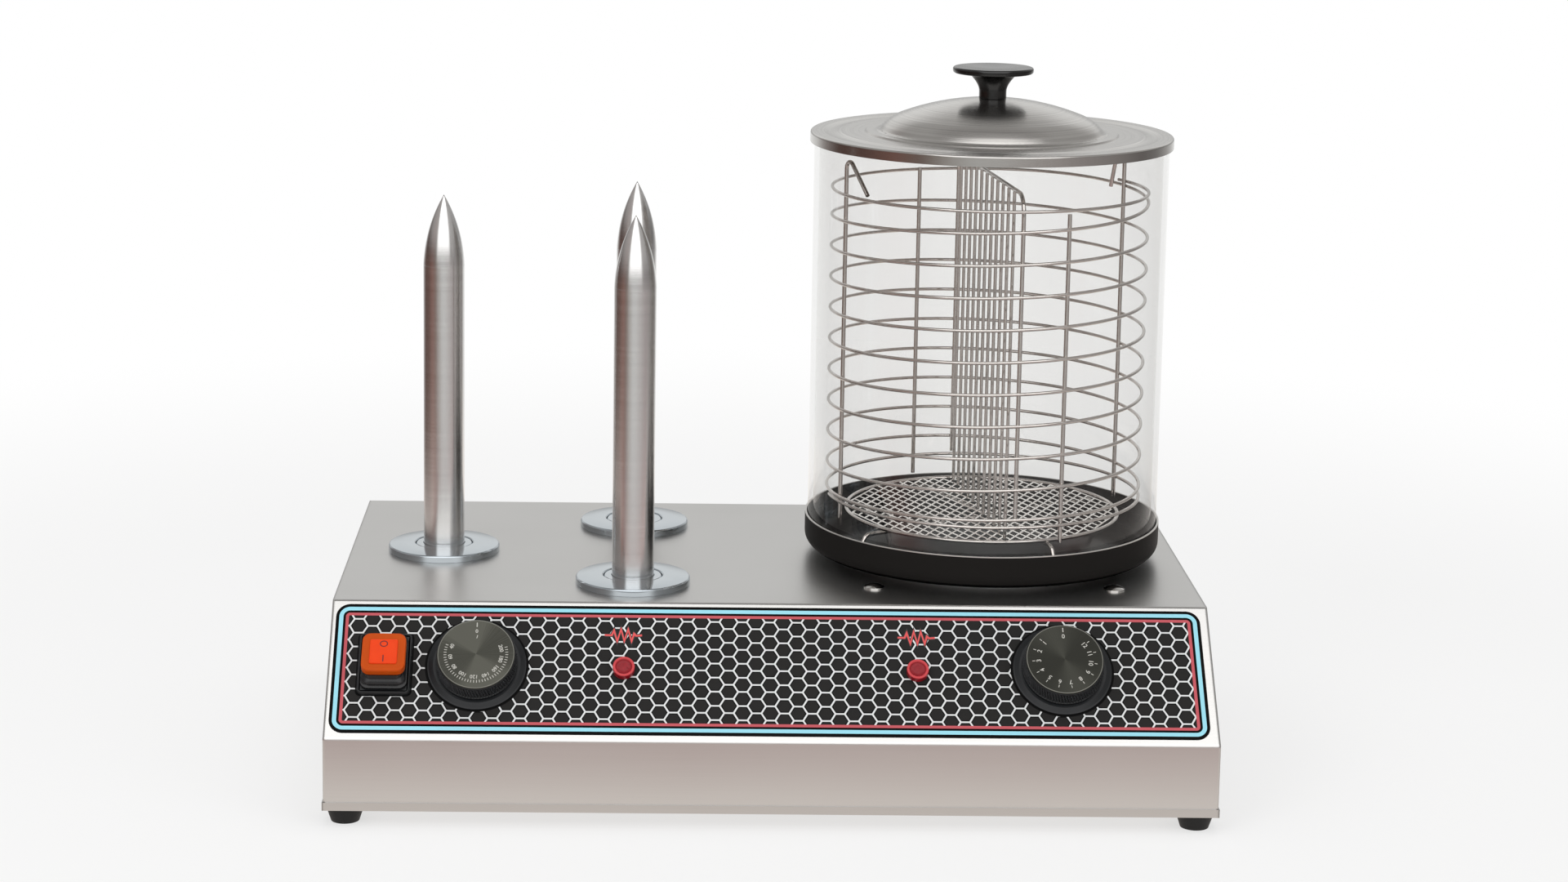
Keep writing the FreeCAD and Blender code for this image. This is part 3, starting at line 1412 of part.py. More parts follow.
def dome_profile(outline, inset, hole, outward):
    """The lid's upper line from the knob's hole to the skirt, or back, inside the outer skin by inset."""
    cap_radius = s.dome_cap_radius - inset
    cap_angle_sine = s.dome_cap_half / s.dome_cap_radius
    cap_angle_cosine = root(1 - cap_angle_sine * cap_angle_sine)
    cap_middle = dome_top - s.dome_cap_radius
    shoulder = s.dome_shoulder_radius - inset
    shoulder_x = cap_angle_sine * (s.dome_cap_radius - s.dome_shoulder_radius)
    shoulder_z = cap_middle + cap_angle_cosine * (s.dome_cap_radius - s.dome_shoulder_radius)
    slant = s.dome_shoulder_angle
    shelf = lid_top + s.lid_step_height - inset
    fall_outer = shoulder_z + s.dome_shoulder_radius * cosine(slant) - lid_top - s.lid_step_height
    foot_radius = fall_outer / (1 - cosine(slant)) + inset
    foot_x = shoulder_x + shoulder * sine(slant) + foot_radius * sine(slant)
    roof = lid_top - inset
    step_half = s.lid_step_height / 2
    groove = s.lid_groove_half
    groove_radius = (groove * groove + s.lid_groove_depth * s.lid_groove_depth) / (s.lid_groove_depth * 2)
    edge = lid_radius - inset
    groove_middle = lid_radius - s.lid_groove_inset
    edge_radius = s.lid_edge_radius - inset
    stations = [
        (hole, cap_middle + root(cap_radius * cap_radius - hole * hole), None),
        (cap_angle_sine * cap_radius, cap_middle + cap_angle_cosine * cap_radius, (cap_radius, False)),
        (shoulder_x + shoulder * sine(slant), shoulder_z + shoulder * cosine(slant), (shoulder, False)),
        (foot_x, shelf, (foot_radius, True)),
        (s.lid_step_radius - step_half, shelf, None),
        (s.lid_step_radius + step_half, roof, None),
        (groove_middle - groove, roof, None),
        (groove_middle + groove, roof, (groove_radius, True)),
        (edge - edge_radius, roof, None),
        (edge, roof - edge_radius, (edge_radius, False)),
        (edge, lid_top - s.lid_skirt, None),
    ]
    if outward:
        outline.points = [(sized(x), sized(z)) for x, z, _ in stations]
        outline.bends = [bend for _, _, bend in stations[1:]]
        return outline
    stations.reverse()
    outline.to(stations[0][0], stations[0][1])
    for (_, _, bend), (x, z, _) in zip(stations, stations[1:]):
        if bend is None:
            outline.to(x, z)
        elif bend[1]:
            outline.right(x, z, bend[0])
        else:
            outline.left(x, z, bend[0])
    return outline


def lid():
    """The spun lid, its knob and the screw that holds the knob."""
    hole = s.knob_seat_hole / 2
    outline = dome_profile(Outline(0, 0), sized(0), hole, True)
    dome_profile(outline, s.lid_sheet, hole, False)
    body = turned("lid_body", outline)
    node("lid_shell", put_on_steamer(body, 0))

    bore = s.lid_screw_thread / 2 + s.fixed_gap
    neck = s.lid_knob_neck / 2
    throat = s.lid_knob_throat / 2
    disc = s.lid_knob_disc / 2
    dish = s.lid_knob_dish / 2
    flare_rise = s.lid_knob_flare - s.lid_knob_neck_height
    flare_run = throat - neck
    flare = (flare_rise * flare_rise + flare_run * flare_run) / (flare_run * 2)
    dish_radius = (dish * dish + s.lid_knob_dish_depth * s.lid_knob_dish_depth) / (
        s.lid_knob_dish_depth * 2
    )
    knob = Outline(bore, 0)
    knob.to(neck, 0)
    knob.to(neck, s.lid_knob_neck_height)
    knob.right(throat, s.lid_knob_flare, flare)
    knob.to(disc, s.lid_knob_disc_foot)
    knob.to(disc, s.lid_knob_height)
    knob.to(dish, s.lid_knob_height)
    knob.right(0, s.lid_knob_height - s.lid_knob_dish_depth, dish_radius)
    knob.to(0, s.lid_screw_above)
    knob.to(bore, s.lid_screw_above)
    piece = turned("lid_knob_body", knob)
    node("lid_knob", put_on_steamer(piece, dome_top))

    head_top = -s.lid_sheet
    head_bottom = head_top - s.lid_screw_head_height
    screw = Outline(0, head_bottom)
    screw.to(s.lid_screw_head / 2, head_bottom)
    screw.to(s.lid_screw_head / 2, head_top - s.hole_gap / 2)
    screw.to(s.lid_screw_thread / 2, head_top - s.hole_gap / 2)
    screw.to(s.lid_screw_thread / 2, s.lid_screw_above)
    screw.to(0, s.lid_screw_above)
    node("lid_screw", put_on_steamer(turned("lid_screw_body", screw), dome_top))


def cord_inlet():
    """Cable gland through the back wall, its nut inside, and the terminal block on the tray."""
    bore = s.gland_bore / 2
    gland = Outline(bore, -s.sheet - s.gland_tail)
    gland.to(s.gland_thread / 2, -s.sheet - s.gland_tail)
    gland.to(s.gland_thread / 2, 0)
    gland.to(s.gland_flange / 2, 0)
    gland.to(s.gland_flange / 2, s.gland_flange_height)
    gland.to(s.gland_dome / 2, s.gland_flange_height)
    shoulder = (s.gland_dome - s.gland_bore) / 4
    gland.to(s.gland_dome / 2, s.gland_out - shoulder)
    gland.left(s.gland_dome / 2 - shoulder, s.gland_out, shoulder)
    gland.to(bore, s.gland_out)
    piece = turned("gland_body", gland)
    node("cable_gland", put(piece, gland_x, back_y, s.gland_height, (1, 0, 0), -90))

    nut = hexagon_nut("gland_nut_cut", s.gland_nut, s.gland_nut_height, s.gland_thread + s.fixed_gap * 2)
    node("gland_nut", put(nut, gland_x, back_y - s.sheet, s.gland_height, (1, 0, 0), 90))

    block = box("terminal_box", s.terminal_width, s.terminal_length, s.terminal_height)
    x = terminal_x - s.terminal_width / 2
    node("terminal_block", put(block, x, front_y + s.terminal_along, shell_bottom))


def rounded_wire(points, radius):
    """A wire through the points with a tangent arc of the radius at each inner point."""
    edges = []
    start = points[0]
    for before, corner, after in zip(points, points[1:], points[2:]):
        inward = (before - corner).normalize()
        outward = (after - corner).normalize()
        half_angle = inward.getAngle(outward) / 2
        reach = radius / math.tan(half_angle)
        bisector = (inward + outward).normalize()
        middle = corner + bisector * (radius / math.sin(half_angle) - radius)
        first = corner + inward * reach
        second = corner + outward * reach
        edges.append(Part.LineSegment(start, first).toShape())
        edges.append(Part.Arc(first, middle, second).toShape())
        start = second
    edges.append(Part.LineSegment(start, points[-1]).toShape())
    return Part.Wire(edges)


def thermostat_bulb():
    """Bulb clipped under the clamp plate, and its capillary to the thermostat's body."""
    radius = s.bulb_diameter.value / 2
    bulb_z = clamp_bottom.value - radius
    bulb_y = steamer_y.value - s.clamp_length.value / 4
    bulb_start = steamer_x.value - s.clamp_width.value / 2 + s.bulb_diameter.value
    depth = s.sheet.value + s.thermostat_case_depth.value
    case_y = (front_y + s.panel_row * slope_cos).value + depth * slope_sin.value
    case_z = (fold_z + s.panel_row * slope_sin).value - depth * slope_cos.value
    case_x = thermostat_x.value
    normal = FreeCAD.Vector(0, slope_sin.value, -slope_cos.value)
    leave = FreeCAD.Vector(case_x, case_y, case_z)
    run = s.capillary_run.value
    first = leave + normal * run
    second = FreeCAD.Vector(case_x + run * 2, first.y + run, bulb_z)
    third = FreeCAD.Vector(bulb_start - s.capillary_lead.value, bulb_y, bulb_z)
    end = FreeCAD.Vector(bulb_start, bulb_y, bulb_z)
    spine = rounded_wire([leave, first, second, third, end], s.capillary_bend.value)
    section = Part.Wire([Part.makeCircle(s.capillary_diameter.value / 2, leave, normal)])
    tube = spine.makePipeShell([section], True, False)
    bulb = Part.makeCylinder(radius, s.bulb_length.value, end, FreeCAD.Vector(1, 0, 0))
    expected = math.pi * (s.capillary_diameter.value / 2) ** 2 * spine.Length
    print("capillary volume over section times length:", round(tube.Volume / expected, 4))
    feature = doc.addObject("Part::Feature", "bulb_feature")
    feature.Shape = tube.fuse(bulb)
    node("thermostat_bulb", feature)


def build():
    """Make every sub-part."""
    panel_tools = panel_cutters()
    housing(panel_tools)
    base_tray()
    side_screws()
    feet()
    fascia_overlay(panel_tools)
    switch()
    rotary_control(
        "thermostat", thermostat_x, s.thermostat_case, s.thermostat_case, s.thermostat_case_depth
    )
    rotary_control(
        "regulator", regulator_x, s.regulator_case_width, s.regulator_case_length,
        s.regulator_case_depth,
    )
    lamp("lamp_left", lamp_left_x)
    lamp("lamp_right", lamp_right_x)
    spike_set()
    pan_heater()
    water_pan()
    glass_cylinder()
    rack()
    basket()
    lid()
    cord_inlet()
    thermostat_bulb()
    doc.recompute()


def check():
    """Stop if any object failed, or a sub-part has no valid solid."""
    for item in doc.Objects:
        if "Invalid" in item.State or "Error" in item.State:
            raise RuntimeError(f"{item.Label} failed: {item.State}")
    for item in nodes:
        if item.Shape.isNull() or not item.Shape.isValid() or not item.Shape.Solids:
            raise RuntimeError(f"{item.Label} has no valid solid")


def write():
    """Write one file per sub-part."""
    os.makedirs("parts", exist_ok=True)
    for item in nodes:
        item.Shape.exportStep(f"parts/{item.Label}.step")
    print("sub-parts:", len(nodes))


build()
check()
write()
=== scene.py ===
"""Looks of a counter hot dog steamer with three bun spikes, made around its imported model."""

import math

import bmesh
import bpy
from bpy.props import FloatProperty, FloatVectorProperty, IntProperty, PointerProperty
from mathutils import Matrix, Vector


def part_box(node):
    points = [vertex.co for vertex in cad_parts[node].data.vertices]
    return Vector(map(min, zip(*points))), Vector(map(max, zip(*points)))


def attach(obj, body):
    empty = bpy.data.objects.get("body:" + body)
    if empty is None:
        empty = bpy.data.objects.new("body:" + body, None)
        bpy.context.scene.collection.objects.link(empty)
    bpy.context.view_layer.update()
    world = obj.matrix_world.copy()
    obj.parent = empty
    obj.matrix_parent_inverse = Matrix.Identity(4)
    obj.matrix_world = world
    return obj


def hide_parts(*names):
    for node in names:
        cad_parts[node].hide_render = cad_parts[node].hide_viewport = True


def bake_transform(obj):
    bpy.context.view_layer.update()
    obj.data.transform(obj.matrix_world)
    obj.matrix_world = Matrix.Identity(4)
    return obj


bl_info = {
    "name": "Hot dog steamer looks",
    "version": (1, 0, 0),
    "blender": (4, 5, 0),
    "location": "3D View > Sidebar > Steamer",
    "description": "Finishes and fine pieces of a counter hot dog steamer with bun spikes",
    "category": "Object",
}

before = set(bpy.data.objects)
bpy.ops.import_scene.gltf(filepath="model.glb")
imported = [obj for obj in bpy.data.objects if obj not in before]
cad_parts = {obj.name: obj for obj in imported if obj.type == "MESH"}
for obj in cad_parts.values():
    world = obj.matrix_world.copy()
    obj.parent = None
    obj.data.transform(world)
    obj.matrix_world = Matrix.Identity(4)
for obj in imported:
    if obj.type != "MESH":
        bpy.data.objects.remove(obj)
bpy.context.view_layer.update()

MM = 0.001
BLACK = (0, 0, 0)
WHITE = (1, 1, 1)

# The sloping panel: its lower fold and its angle
FRONT_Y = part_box("housing_shell")[0].y
FOLD_Z = 50.5 * MM
SLOPE = math.radians(45)


def middle_of(node):
    """Middle of a node's box."""
    low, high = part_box(node)
    return (low + high) / 2


def row_of(node):
    """How far up the panel a node's middle lies."""
    middle = middle_of(node)
    return (middle.y - FRONT_Y + middle.z - FOLD_Z) * math.cos(SLOPE)


# The rows and columns of the controls, the steamer's middle, its rack, its pan and its spikes
PANEL_ROW = row_of("thermostat_bezel")
LAMP_ROW = row_of("lamp_left_lens")
SWITCH_X = middle_of("switch_frame").x
THERMOSTAT_X = middle_of("thermostat_dial").x
REGULATOR_X = middle_of("regulator_dial").x
STEAMER = middle_of("glass_cylinder")
MESH_LOW, MESH_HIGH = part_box("rack_mesh")
PAN_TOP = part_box("water_pan")[1].z
SPIKES = ("left", "front", "rear")


def standing(node, foot_of=None):
    """The place below a node's middle, as high as its own foot or another node's."""
    middle = middle_of(node)
    return Matrix.Translation((middle.x, middle.y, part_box(foot_of or node)[0].z))


def on_panel(across, up=PANEL_ROW, height=0.0, tilt=0.0):
    """The place on the sloping panel, with its own Z along the panel's outward normal."""
    fold = Matrix.Translation((0, FRONT_Y, FOLD_Z)) @ Matrix.Rotation(SLOPE, 4, "X")
    return fold @ Matrix.Translation((across, up, height)) @ Matrix.Rotation(tilt, 4, "X")


# ---- Node trees ----


class Number:
    """A number in a node tree that is used in sums as a plain number is."""

    def __init__(self, tree, socket):
        self.tree = tree
        self.socket = socket

    def __add__(self, other):
        return self.tree.math("ADD", self, other)

    def __radd__(self, other):
        return self.tree.math("ADD", other, self)

    def __sub__(self, other):
        return self.tree.math("SUBTRACT", self, other)

    def __rsub__(self, other):
        return self.tree.math("SUBTRACT", other, self)

    def __mul__(self, other):
        return self.tree.math("MULTIPLY", self, other)

    def __rmul__(self, other):
        return self.tree.math("MULTIPLY", other, self)

    def __truediv__(self, other):
        return self.tree.math("DIVIDE", self, other)

    def __rtruediv__(self, other):
        return self.tree.math("DIVIDE", other, self)

    def __abs__(self):
        return self.tree.math("ABSOLUTE", self)

    def __lt__(self, other):
        return self.tree.math("LESS_THAN", self, other)

    def __gt__(self, other):
        return self.tree.math("GREATER_THAN", self, other)


class Tree:
    """A node tree in the making."""

    prefix = "ShaderNode"

    def node(self, kind, settings=None, inputs=None):
        """Add a node: its settings first, then the values or links of its sockets."""
        made = self.tree.nodes.new(kind if "Node" in kind else self.prefix + kind)
        for key, value in (settings or {}).items():
            if key == "stops":
                self.set_stops(made.color_ramp, value)
            else:
                setattr(made, key, value)
        for key, value in (inputs or {}).items():
            self.feed(made.inputs[key], value)
        return made

    def set_stops(self, ramp, stops):
        """Give a ramp its stops, each a place and a colour, from first to last."""
        ramp.elements[0].position = stops[0][0]
        ramp.elements[1].position = stops[-1][0]
        for place, _ in stops[1:-1]:
            ramp.elements.new(place)
        for element, (_, colour) in zip(ramp.elements, stops):
            element.color = (*colour, 1)

    def feed(self, socket, value):
        """Link or set one socket."""
        if isinstance(value, Number):
            value = value.socket
        if isinstance(value, bpy.types.NodeSocket):
            self.tree.links.new(value, socket)
        elif socket.type == "RGBA" and len(value) == 3:
            socket.default_value = (*value, 1)
        else:
            socket.default_value = value

    def number(self, socket):
        """A socket as a number."""
        return Number(self, socket)

    def math(self, operation, *values):
        """A Math node on the values."""
        made = self.node("ShaderNodeMath", {"operation": operation}, dict(enumerate(values)))
        return Number(self, made.outputs[0])

    def least(self, first, second):
        """The smaller of two numbers."""
        return self.math("MINIMUM", first, second)

    def most(self, first, second):
        """The larger of two numbers."""
        return self.math("MAXIMUM", first, second)

    def distance(self, x, y):
        """How far the point at x and y lies from the middle."""
        return self.math("SQRT", x * x + y * y)

    def whole(self, value):
        """The whole number below."""
        return self.math("FLOOR", value)

    def step(self, value, low, high):
        """0 below low, 1 above high, and smooth between."""
        inputs = {"Value": value, "From Min": low, "From Max": high}
        made = self.node("ShaderNodeMapRange", {"interpolation_type": "SMOOTHSTEP"}, inputs)
        return self.number(made.outputs["Result"])

    def mix(self, factor, low, high):
        """A colour between two others."""
        made = self.node("ShaderNodeMix", {"data_type": "RGBA"}, {0: factor, 6: low, 7: high})
        return made.outputs[2]

    def ramp(self, value, stops):
        """A colour ramp."""
        return self.node("ShaderNodeValToRGB", {"stops": stops}, {"Fac": value}).outputs["Color"]

    def parts(self, vector):
        """The three numbers of a vector."""
        made = self.node("ShaderNodeSeparateXYZ", inputs={0: vector})
        return [Number(self, output) for output in made.outputs]

    def vector(self, x, y, z):
        """A vector of three numbers."""
        return self.node("ShaderNodeCombineXYZ", inputs={0: x, 1: y, 2: z}).outputs[0]

    def vector_math(self, operation, *vectors):
        """A Vector Math node on the vectors."""
        inputs = dict(enumerate(vectors))
        return self.node("ShaderNodeVectorMath", {"operation": operation}, inputs).outputs[0]

    def rays(self):
        """Whether a ray is mirrored, and whether the camera sees it, straight or through glass."""
        path = self.node("ShaderNodeLightPath").outputs
        seen = self.number(path["Is Camera Ray"]) + self.number(path["Is Transmission Ray"])
        return self.number(path["Is Glossy Ray"]), self.least(seen, 1)


class Finish(Tree):
    """A material in the making, on one Principled shader."""

    def __init__(self, name, **constants):
        self.material = bpy.data.materials.new(name)
        self.material.use_nodes = True
        self.tree = self.material.node_tree
        self.shader = self.tree.nodes["Principled BSDF"]
        self.output = self.tree.nodes["Material Output"]
        self.use(**constants)

    def use(self, **inputs):
        """Feed the shader: an underscore in a name stands for a space."""
        for key, value in inputs.items():
            self.feed(self.shader.inputs[key.replace("_", " ")], value)

    def place(self, middle=(0, 0, 0)):
        """Object coordinates about the middle, in millimetres."""
        coordinates = self.node("TexCoord").outputs["Object"]
        return self.stretched(self.vector_math("SUBTRACT", coordinates, middle), (1 / MM,) * 3)

    def stretched(self, vector, scale):
        """The vector times a scale for each direction."""
        return self.vector_math("MULTIPLY", vector, scale)

    def noise(self, vector, scale, detail, roughness=0.5):
        """Soft noise from 0 to 1."""
        inputs = {"Vector": vector, "Scale": scale, "Detail": detail, "Roughness": roughness}
        return self.number(self.node("TexNoise", inputs=inputs).outputs["Fac"])

    def noise_along(self, number, scale, detail):
        """Soft noise along one number."""
        inputs = {"W": number, "Scale": scale, "Detail": detail}
        return self.number(self.node("TexNoise", {"noise_dimensions": "1D"}, inputs).outputs["Fac"])

    def bump(self, height, distance, strength, normal=None):
        """Relief from a height of 0 to 1, as deep as the distance in millimetres."""
        inputs = {"Height": height, "Distance": distance * MM, "Strength": strength}
        if normal is not None:
            inputs["Normal"] = normal
        self.use(Normal=self.node("Bump", inputs=inputs).outputs["Normal"])

    def normal(self):
        """Which way the surface faces."""
        return self.node("NewGeometry").outputs["Normal"]

    def facing(self, axis):
        """How squarely a surface faces along an axis, 0 to 1."""
        return abs(self.parts(self.normal())[axis])

    def mix_shaders(self, share, first, second):
        """Show the first shader, and the second one by its share."""
        inputs = {0: share, 1: first.outputs[0], 2: second.outputs[0]}
        mixed = self.node("MixShader", inputs=inputs)
        self.tree.links.new(mixed.outputs[0], self.output.inputs["Surface"])


class Pattern(Tree):
    """A Geometry Nodes tree in the making, with named sizes."""

    prefix = "GeometryNode"

    def __init__(self, name, **sizes):
        self.name = name
        self.sizes = sizes
        self.tree = bpy.data.node_groups.new(name, "GeometryNodeTree")
        face = self.tree.interface
        face.new_socket("Geometry", in_out="OUTPUT", socket_type="NodeSocketGeometry")
        face.new_socket("Geometry", in_out="INPUT", socket_type="NodeSocketGeometry")
        self.identifiers = {}
        for label, value in sizes.items():
            kind = "NodeSocketInt" if isinstance(value, int) else "NodeSocketFloat"
            made = face.new_socket(label.replace("_", " "), in_out="INPUT", socket_type=kind)
            self.identifiers[label] = made.identifier
        self.given = self.tree.nodes.new("NodeGroupInput")
        self.result = self.tree.nodes.new("NodeGroupOutput")

    def size(self, label):
        """A named size as a number."""
        return Number(self, self.given.outputs[label.replace("_", " ")])

    def index(self):
        """Number of each point."""
        return Number(self, self.node("InputIndex").outputs[0])

    def bar(self, across, along, high):
        """A box about its own middle."""
        size = self.vector(across, along, high)
        return self.node("MeshCube", inputs={"Size": size}).outputs["Mesh"]

    def on_points(self, points, piece, rotation):
        """A copy of the piece on every point."""
        inputs = {"Points": points, "Instance": piece, "Rotation": rotation}
        return self.node("InstanceOnPoints", inputs=inputs).outputs[0]

    def on_circle(self, radius, angle, height):
        """A place on a circle about Z."""
        x, y = radius * self.math("COSINE", angle), radius * self.math("SINE", angle)
        return self.vector(x, y, height)

    def row_of_points(self, count, position):
        """As many points as the count, at the position."""
        return self.node("Points", inputs={"Count": count, "Position": position}).outputs[0]

    def turned(self, piece, rotation):
        """The piece turned about its own middle."""
        return self.node("Transform", inputs={"Geometry": piece, "Rotation": rotation}).outputs[0]

    def bake(self, pieces, material, place):
        """Run the tree and give its result as a plain object at its place."""
        joined = self.node("JoinGeometry")
        for piece in pieces:
            self.tree.links.new(piece, joined.inputs[0])
        whole = self.node("RealizeInstances", inputs={0: joined.outputs[0]})
        inputs = {"Geometry": whole.outputs[0], "Material": material}
        covered = self.node("SetMaterial", inputs=inputs)
        self.tree.links.new(covered.outputs[0], self.result.inputs[0])
        piece = bpy.data.objects.new(self.name, bpy.data.meshes.new(self.name))
        bpy.context.scene.collection.objects.link(piece)
        modifier = piece.modifiers.new(self.name, "NODES")
        modifier.node_group = self.tree
        for label, value in self.sizes.items():
            modifier[self.identifiers[label]] = value
        bpy.context.view_layer.update()
        evaluated = piece.evaluated_get(bpy.context.evaluated_depsgraph_get())
        baked = bpy.data.meshes.new_from_object(evaluated)
        piece.modifiers.remove(modifier)
        piece.data = baked
        baked.transform(place)
        return piece


# ---- Shapes ----

# Points nearer to each other than this, or to an axis, are one
TINY = 1e-7


def filleted(points, radius, steps=4):
    """The open line of points with round corners; a third number on a point is its own radius."""
    line = [Vector(points[0][:2])]
    for before, corner, after in zip(points, points[1:], points[2:]):
        own = corner[2] if len(corner) > 2 else radius
        place = Vector(corner[:2])
        back = Vector(before[:2]) - place
        ahead = Vector(after[:2]) - place
        angle = back.angle(ahead)
        straight = angle > math.pi - 0.02
        # A round corner takes up less than half of each edge beside it
        most = min(back.length, ahead.length) * 0.49
        reach = min(own / math.tan(angle / 2), most) if own > 0 else 0
        if reach < TINY or straight:
            line.append(place)
            continue
        first = place + back.normalized() * reach
        last = place + ahead.normalized() * reach
        for index in range(steps + 1):
            t = index / steps
            line.append(first * (1 - t) ** 2 + place * 2 * t * (1 - t) + last * t * t)
    line.append(Vector(points[-1][:2]))
    return line


def finished(name, shape, material, place=None, sharp=35.0):
    """A bmesh as an object with smooth faces and sharp edges."""
    bmesh.ops.remove_doubles(shape, verts=shape.verts, dist=TINY)
    bmesh.ops.recalc_face_normals(shape, faces=shape.faces)
    mesh = bpy.data.meshes.new(name)
    if place is not None:
        shape.transform(place)
    shape.to_mesh(mesh)
    shape.free()
    mesh.shade_smooth()
    mesh.set_sharp_from_angle(angle=math.radians(sharp))
    mesh.materials.append(material)
    piece = bpy.data.objects.new(name, mesh)
    bpy.context.scene.collection.objects.link(piece)
    return piece


def skinned(shape, loops, closed):
    """Faces between loops of as many points each."""
    pairs = list(zip(loops, loops[1:]))
    if closed:
        pairs.append((loops[-1], loops[0]))
    for below, above in pairs:
        for index in range(len(below)):
            after = (index + 1) % len(below)
            corners = [below[index], below[after], above[after], above[index]]
            if len(set(corners)) > 2:
                shape.faces.new(list(dict.fromkeys(corners)))


def capped(shape, loops):
    """Faces over the first loop and the last."""
    shape.faces.new(loops[0][::-1])
    shape.faces.new(loops[-1])


def lathed(name, line, material, place, segments=96, ring=False, sharp=35.0):
    """A piece turned about Z from (radius, height) points in millimetres."""
    shape = bmesh.new()
    turns = [2 * math.pi * index / segments for index in range(segments)]
    loops = []
    for radius, height in line:
        if radius < TINY:
            loops.append([shape.verts.new((0, 0, height * MM))] * segments)
            continue
        wide = radius * MM
        spots = [(wide * math.cos(turn), wide * math.sin(turn), height * MM) for turn in turns]
        loops.append([shape.verts.new(spot) for spot in spots])
    skinned(shape, loops, ring)
    return finished(name, shape, material, place, sharp)


def ogive(radius, height, length, shoulder, steps=28):
    """The line of a pointed tip: an arc from the shoulder's angle to the axis."""
    chord = math.atan2(radius, length)
    bow = math.hypot(radius, length) / 2 / math.sin(chord - shoulder)
    line = []
    for index in range(steps + 1):
        turn = shoulder + 2 * (chord - shoulder) * index / steps
        reach = radius - bow * (math.cos(shoulder) - math.cos(turn))
        line.append((max(reach, 0.0), height + bow * (math.sin(turn) - math.sin(shoulder))))
    return line


def merged(name, pieces):
    """Several pieces as one object."""
    shape = bmesh.new()
    for piece in pieces:
        shape.from_mesh(piece.data)
    material = pieces[0].data.materials[0]
    for piece in pieces:
        bpy.data.objects.remove(piece)
    return finished(name, shape, material)


def round_loop(shape, width, length, corner, height, steps=6):
    """Points round a rectangle with round corners, in millimetres."""
    loop = []
    straight = 0.01
    corner = min(corner, width / 2 - straight, length / 2 - straight)
    for quarter, (side, end) in enumerate(((1, 1), (-1, 1), (-1, -1), (1, -1))):
        for index in range(steps + 1):
            angle = math.pi / 2 * (quarter + index / steps)
            x = side * (width / 2 - corner) + corner * math.cos(angle)
            y = end * (length / 2 - corner) + corner * math.sin(angle)
            loop.append(shape.verts.new((x * MM, y * MM, height * MM)))
    return loop


def slab(name, width, length, corner, line, material, place, ring=False):
    """A round-cornered piece from (inset, height) points of its side, in millimetres."""
    shape = bmesh.new()
    smallest = 0.25
    loops = []
    for inset, height in line:
        sides = width - inset * 2, length - inset * 2
        loops.append(round_loop(shape, *sides, max(corner - inset, smallest), height))
    skinned(shape, loops, ring)
    if not ring:
        capped(shape, loops)
    return finished(name, shape, material, place)


def ribbon(shape, points, width, height, thickness):
    """A flat mitred strip through points in millimetres, with a thickness."""
    sharpest = 0.35
    sides = []
    for index, point in enumerate(points):
        here = Vector(point)
        before = Vector(points[max(index - 1, 0)])
        after = Vector(points[min(index + 1, len(points) - 1)])
        ahead = (after - here).normalized() if after != here else (here - before).normalized()
        back = (here - before).normalized() if before != here else ahead
        along = (ahead + back).normalized()
        across = Vector((-along.y, along.x))
        mitre = max(across.dot(Vector((-ahead.y, ahead.x))), sharpest)
        half = width / 2 / mitre
        sides.append((here + across * half, here - across * half))
    low, high = (
        [[shape.verts.new((p.x * MM, p.y * MM, level * MM)) for p in pair] for pair in sides]
        for level in (height, height + thickness)
    )
    for below, next_below, above, next_above in zip(low, low[1:], high, high[1:]):
        shape.faces.new((above[0], above[1], next_above[1], next_above[0]))
        shape.faces.new((below[1], below[0], next_below[0], next_below[1]))
        for side in (0, 1):
            shape.faces.new((below[side], above[side], next_above[side], next_below[side]))
    for end in (0, -1):
        shape.faces.new((low[end][0], low[end][1], high[end][1], high[end][0]))


def lettered(name, marks, size, material, place, lift):
    """Flat figures as one mesh: each mark is its text, its place and its turn."""
    shape = bmesh.new()
    for text, (x, y), turn in marks:
        curve = bpy.data.curves.new(name, "FONT")
        curve.body = text
        curve.size = size * MM
        curve.extrude = 0.02 * MM
        curve.offset = 0.05 * MM
        curve.resolution_u = 3
        curve.align_x = "CENTER"
        curve.align_y = "CENTER"
        holder = bpy.data.objects.new(name, curve)
        bpy.context.scene.collection.objects.link(holder)
        bpy.context.view_layer.update()
        evaluated = holder.evaluated_get(bpy.context.evaluated_depsgraph_get())
        flat = bpy.data.meshes.new_from_object(evaluated)
        spot = Matrix.Translation((x * MM, y * MM, lift * MM))
        flat.transform(spot @ Matrix.Rotation(turn, 4, "Z"))
        shape.from_mesh(flat)
        bpy.data.objects.remove(holder)
    return finished(name, shape, material, place)


# ---- Finishes ----


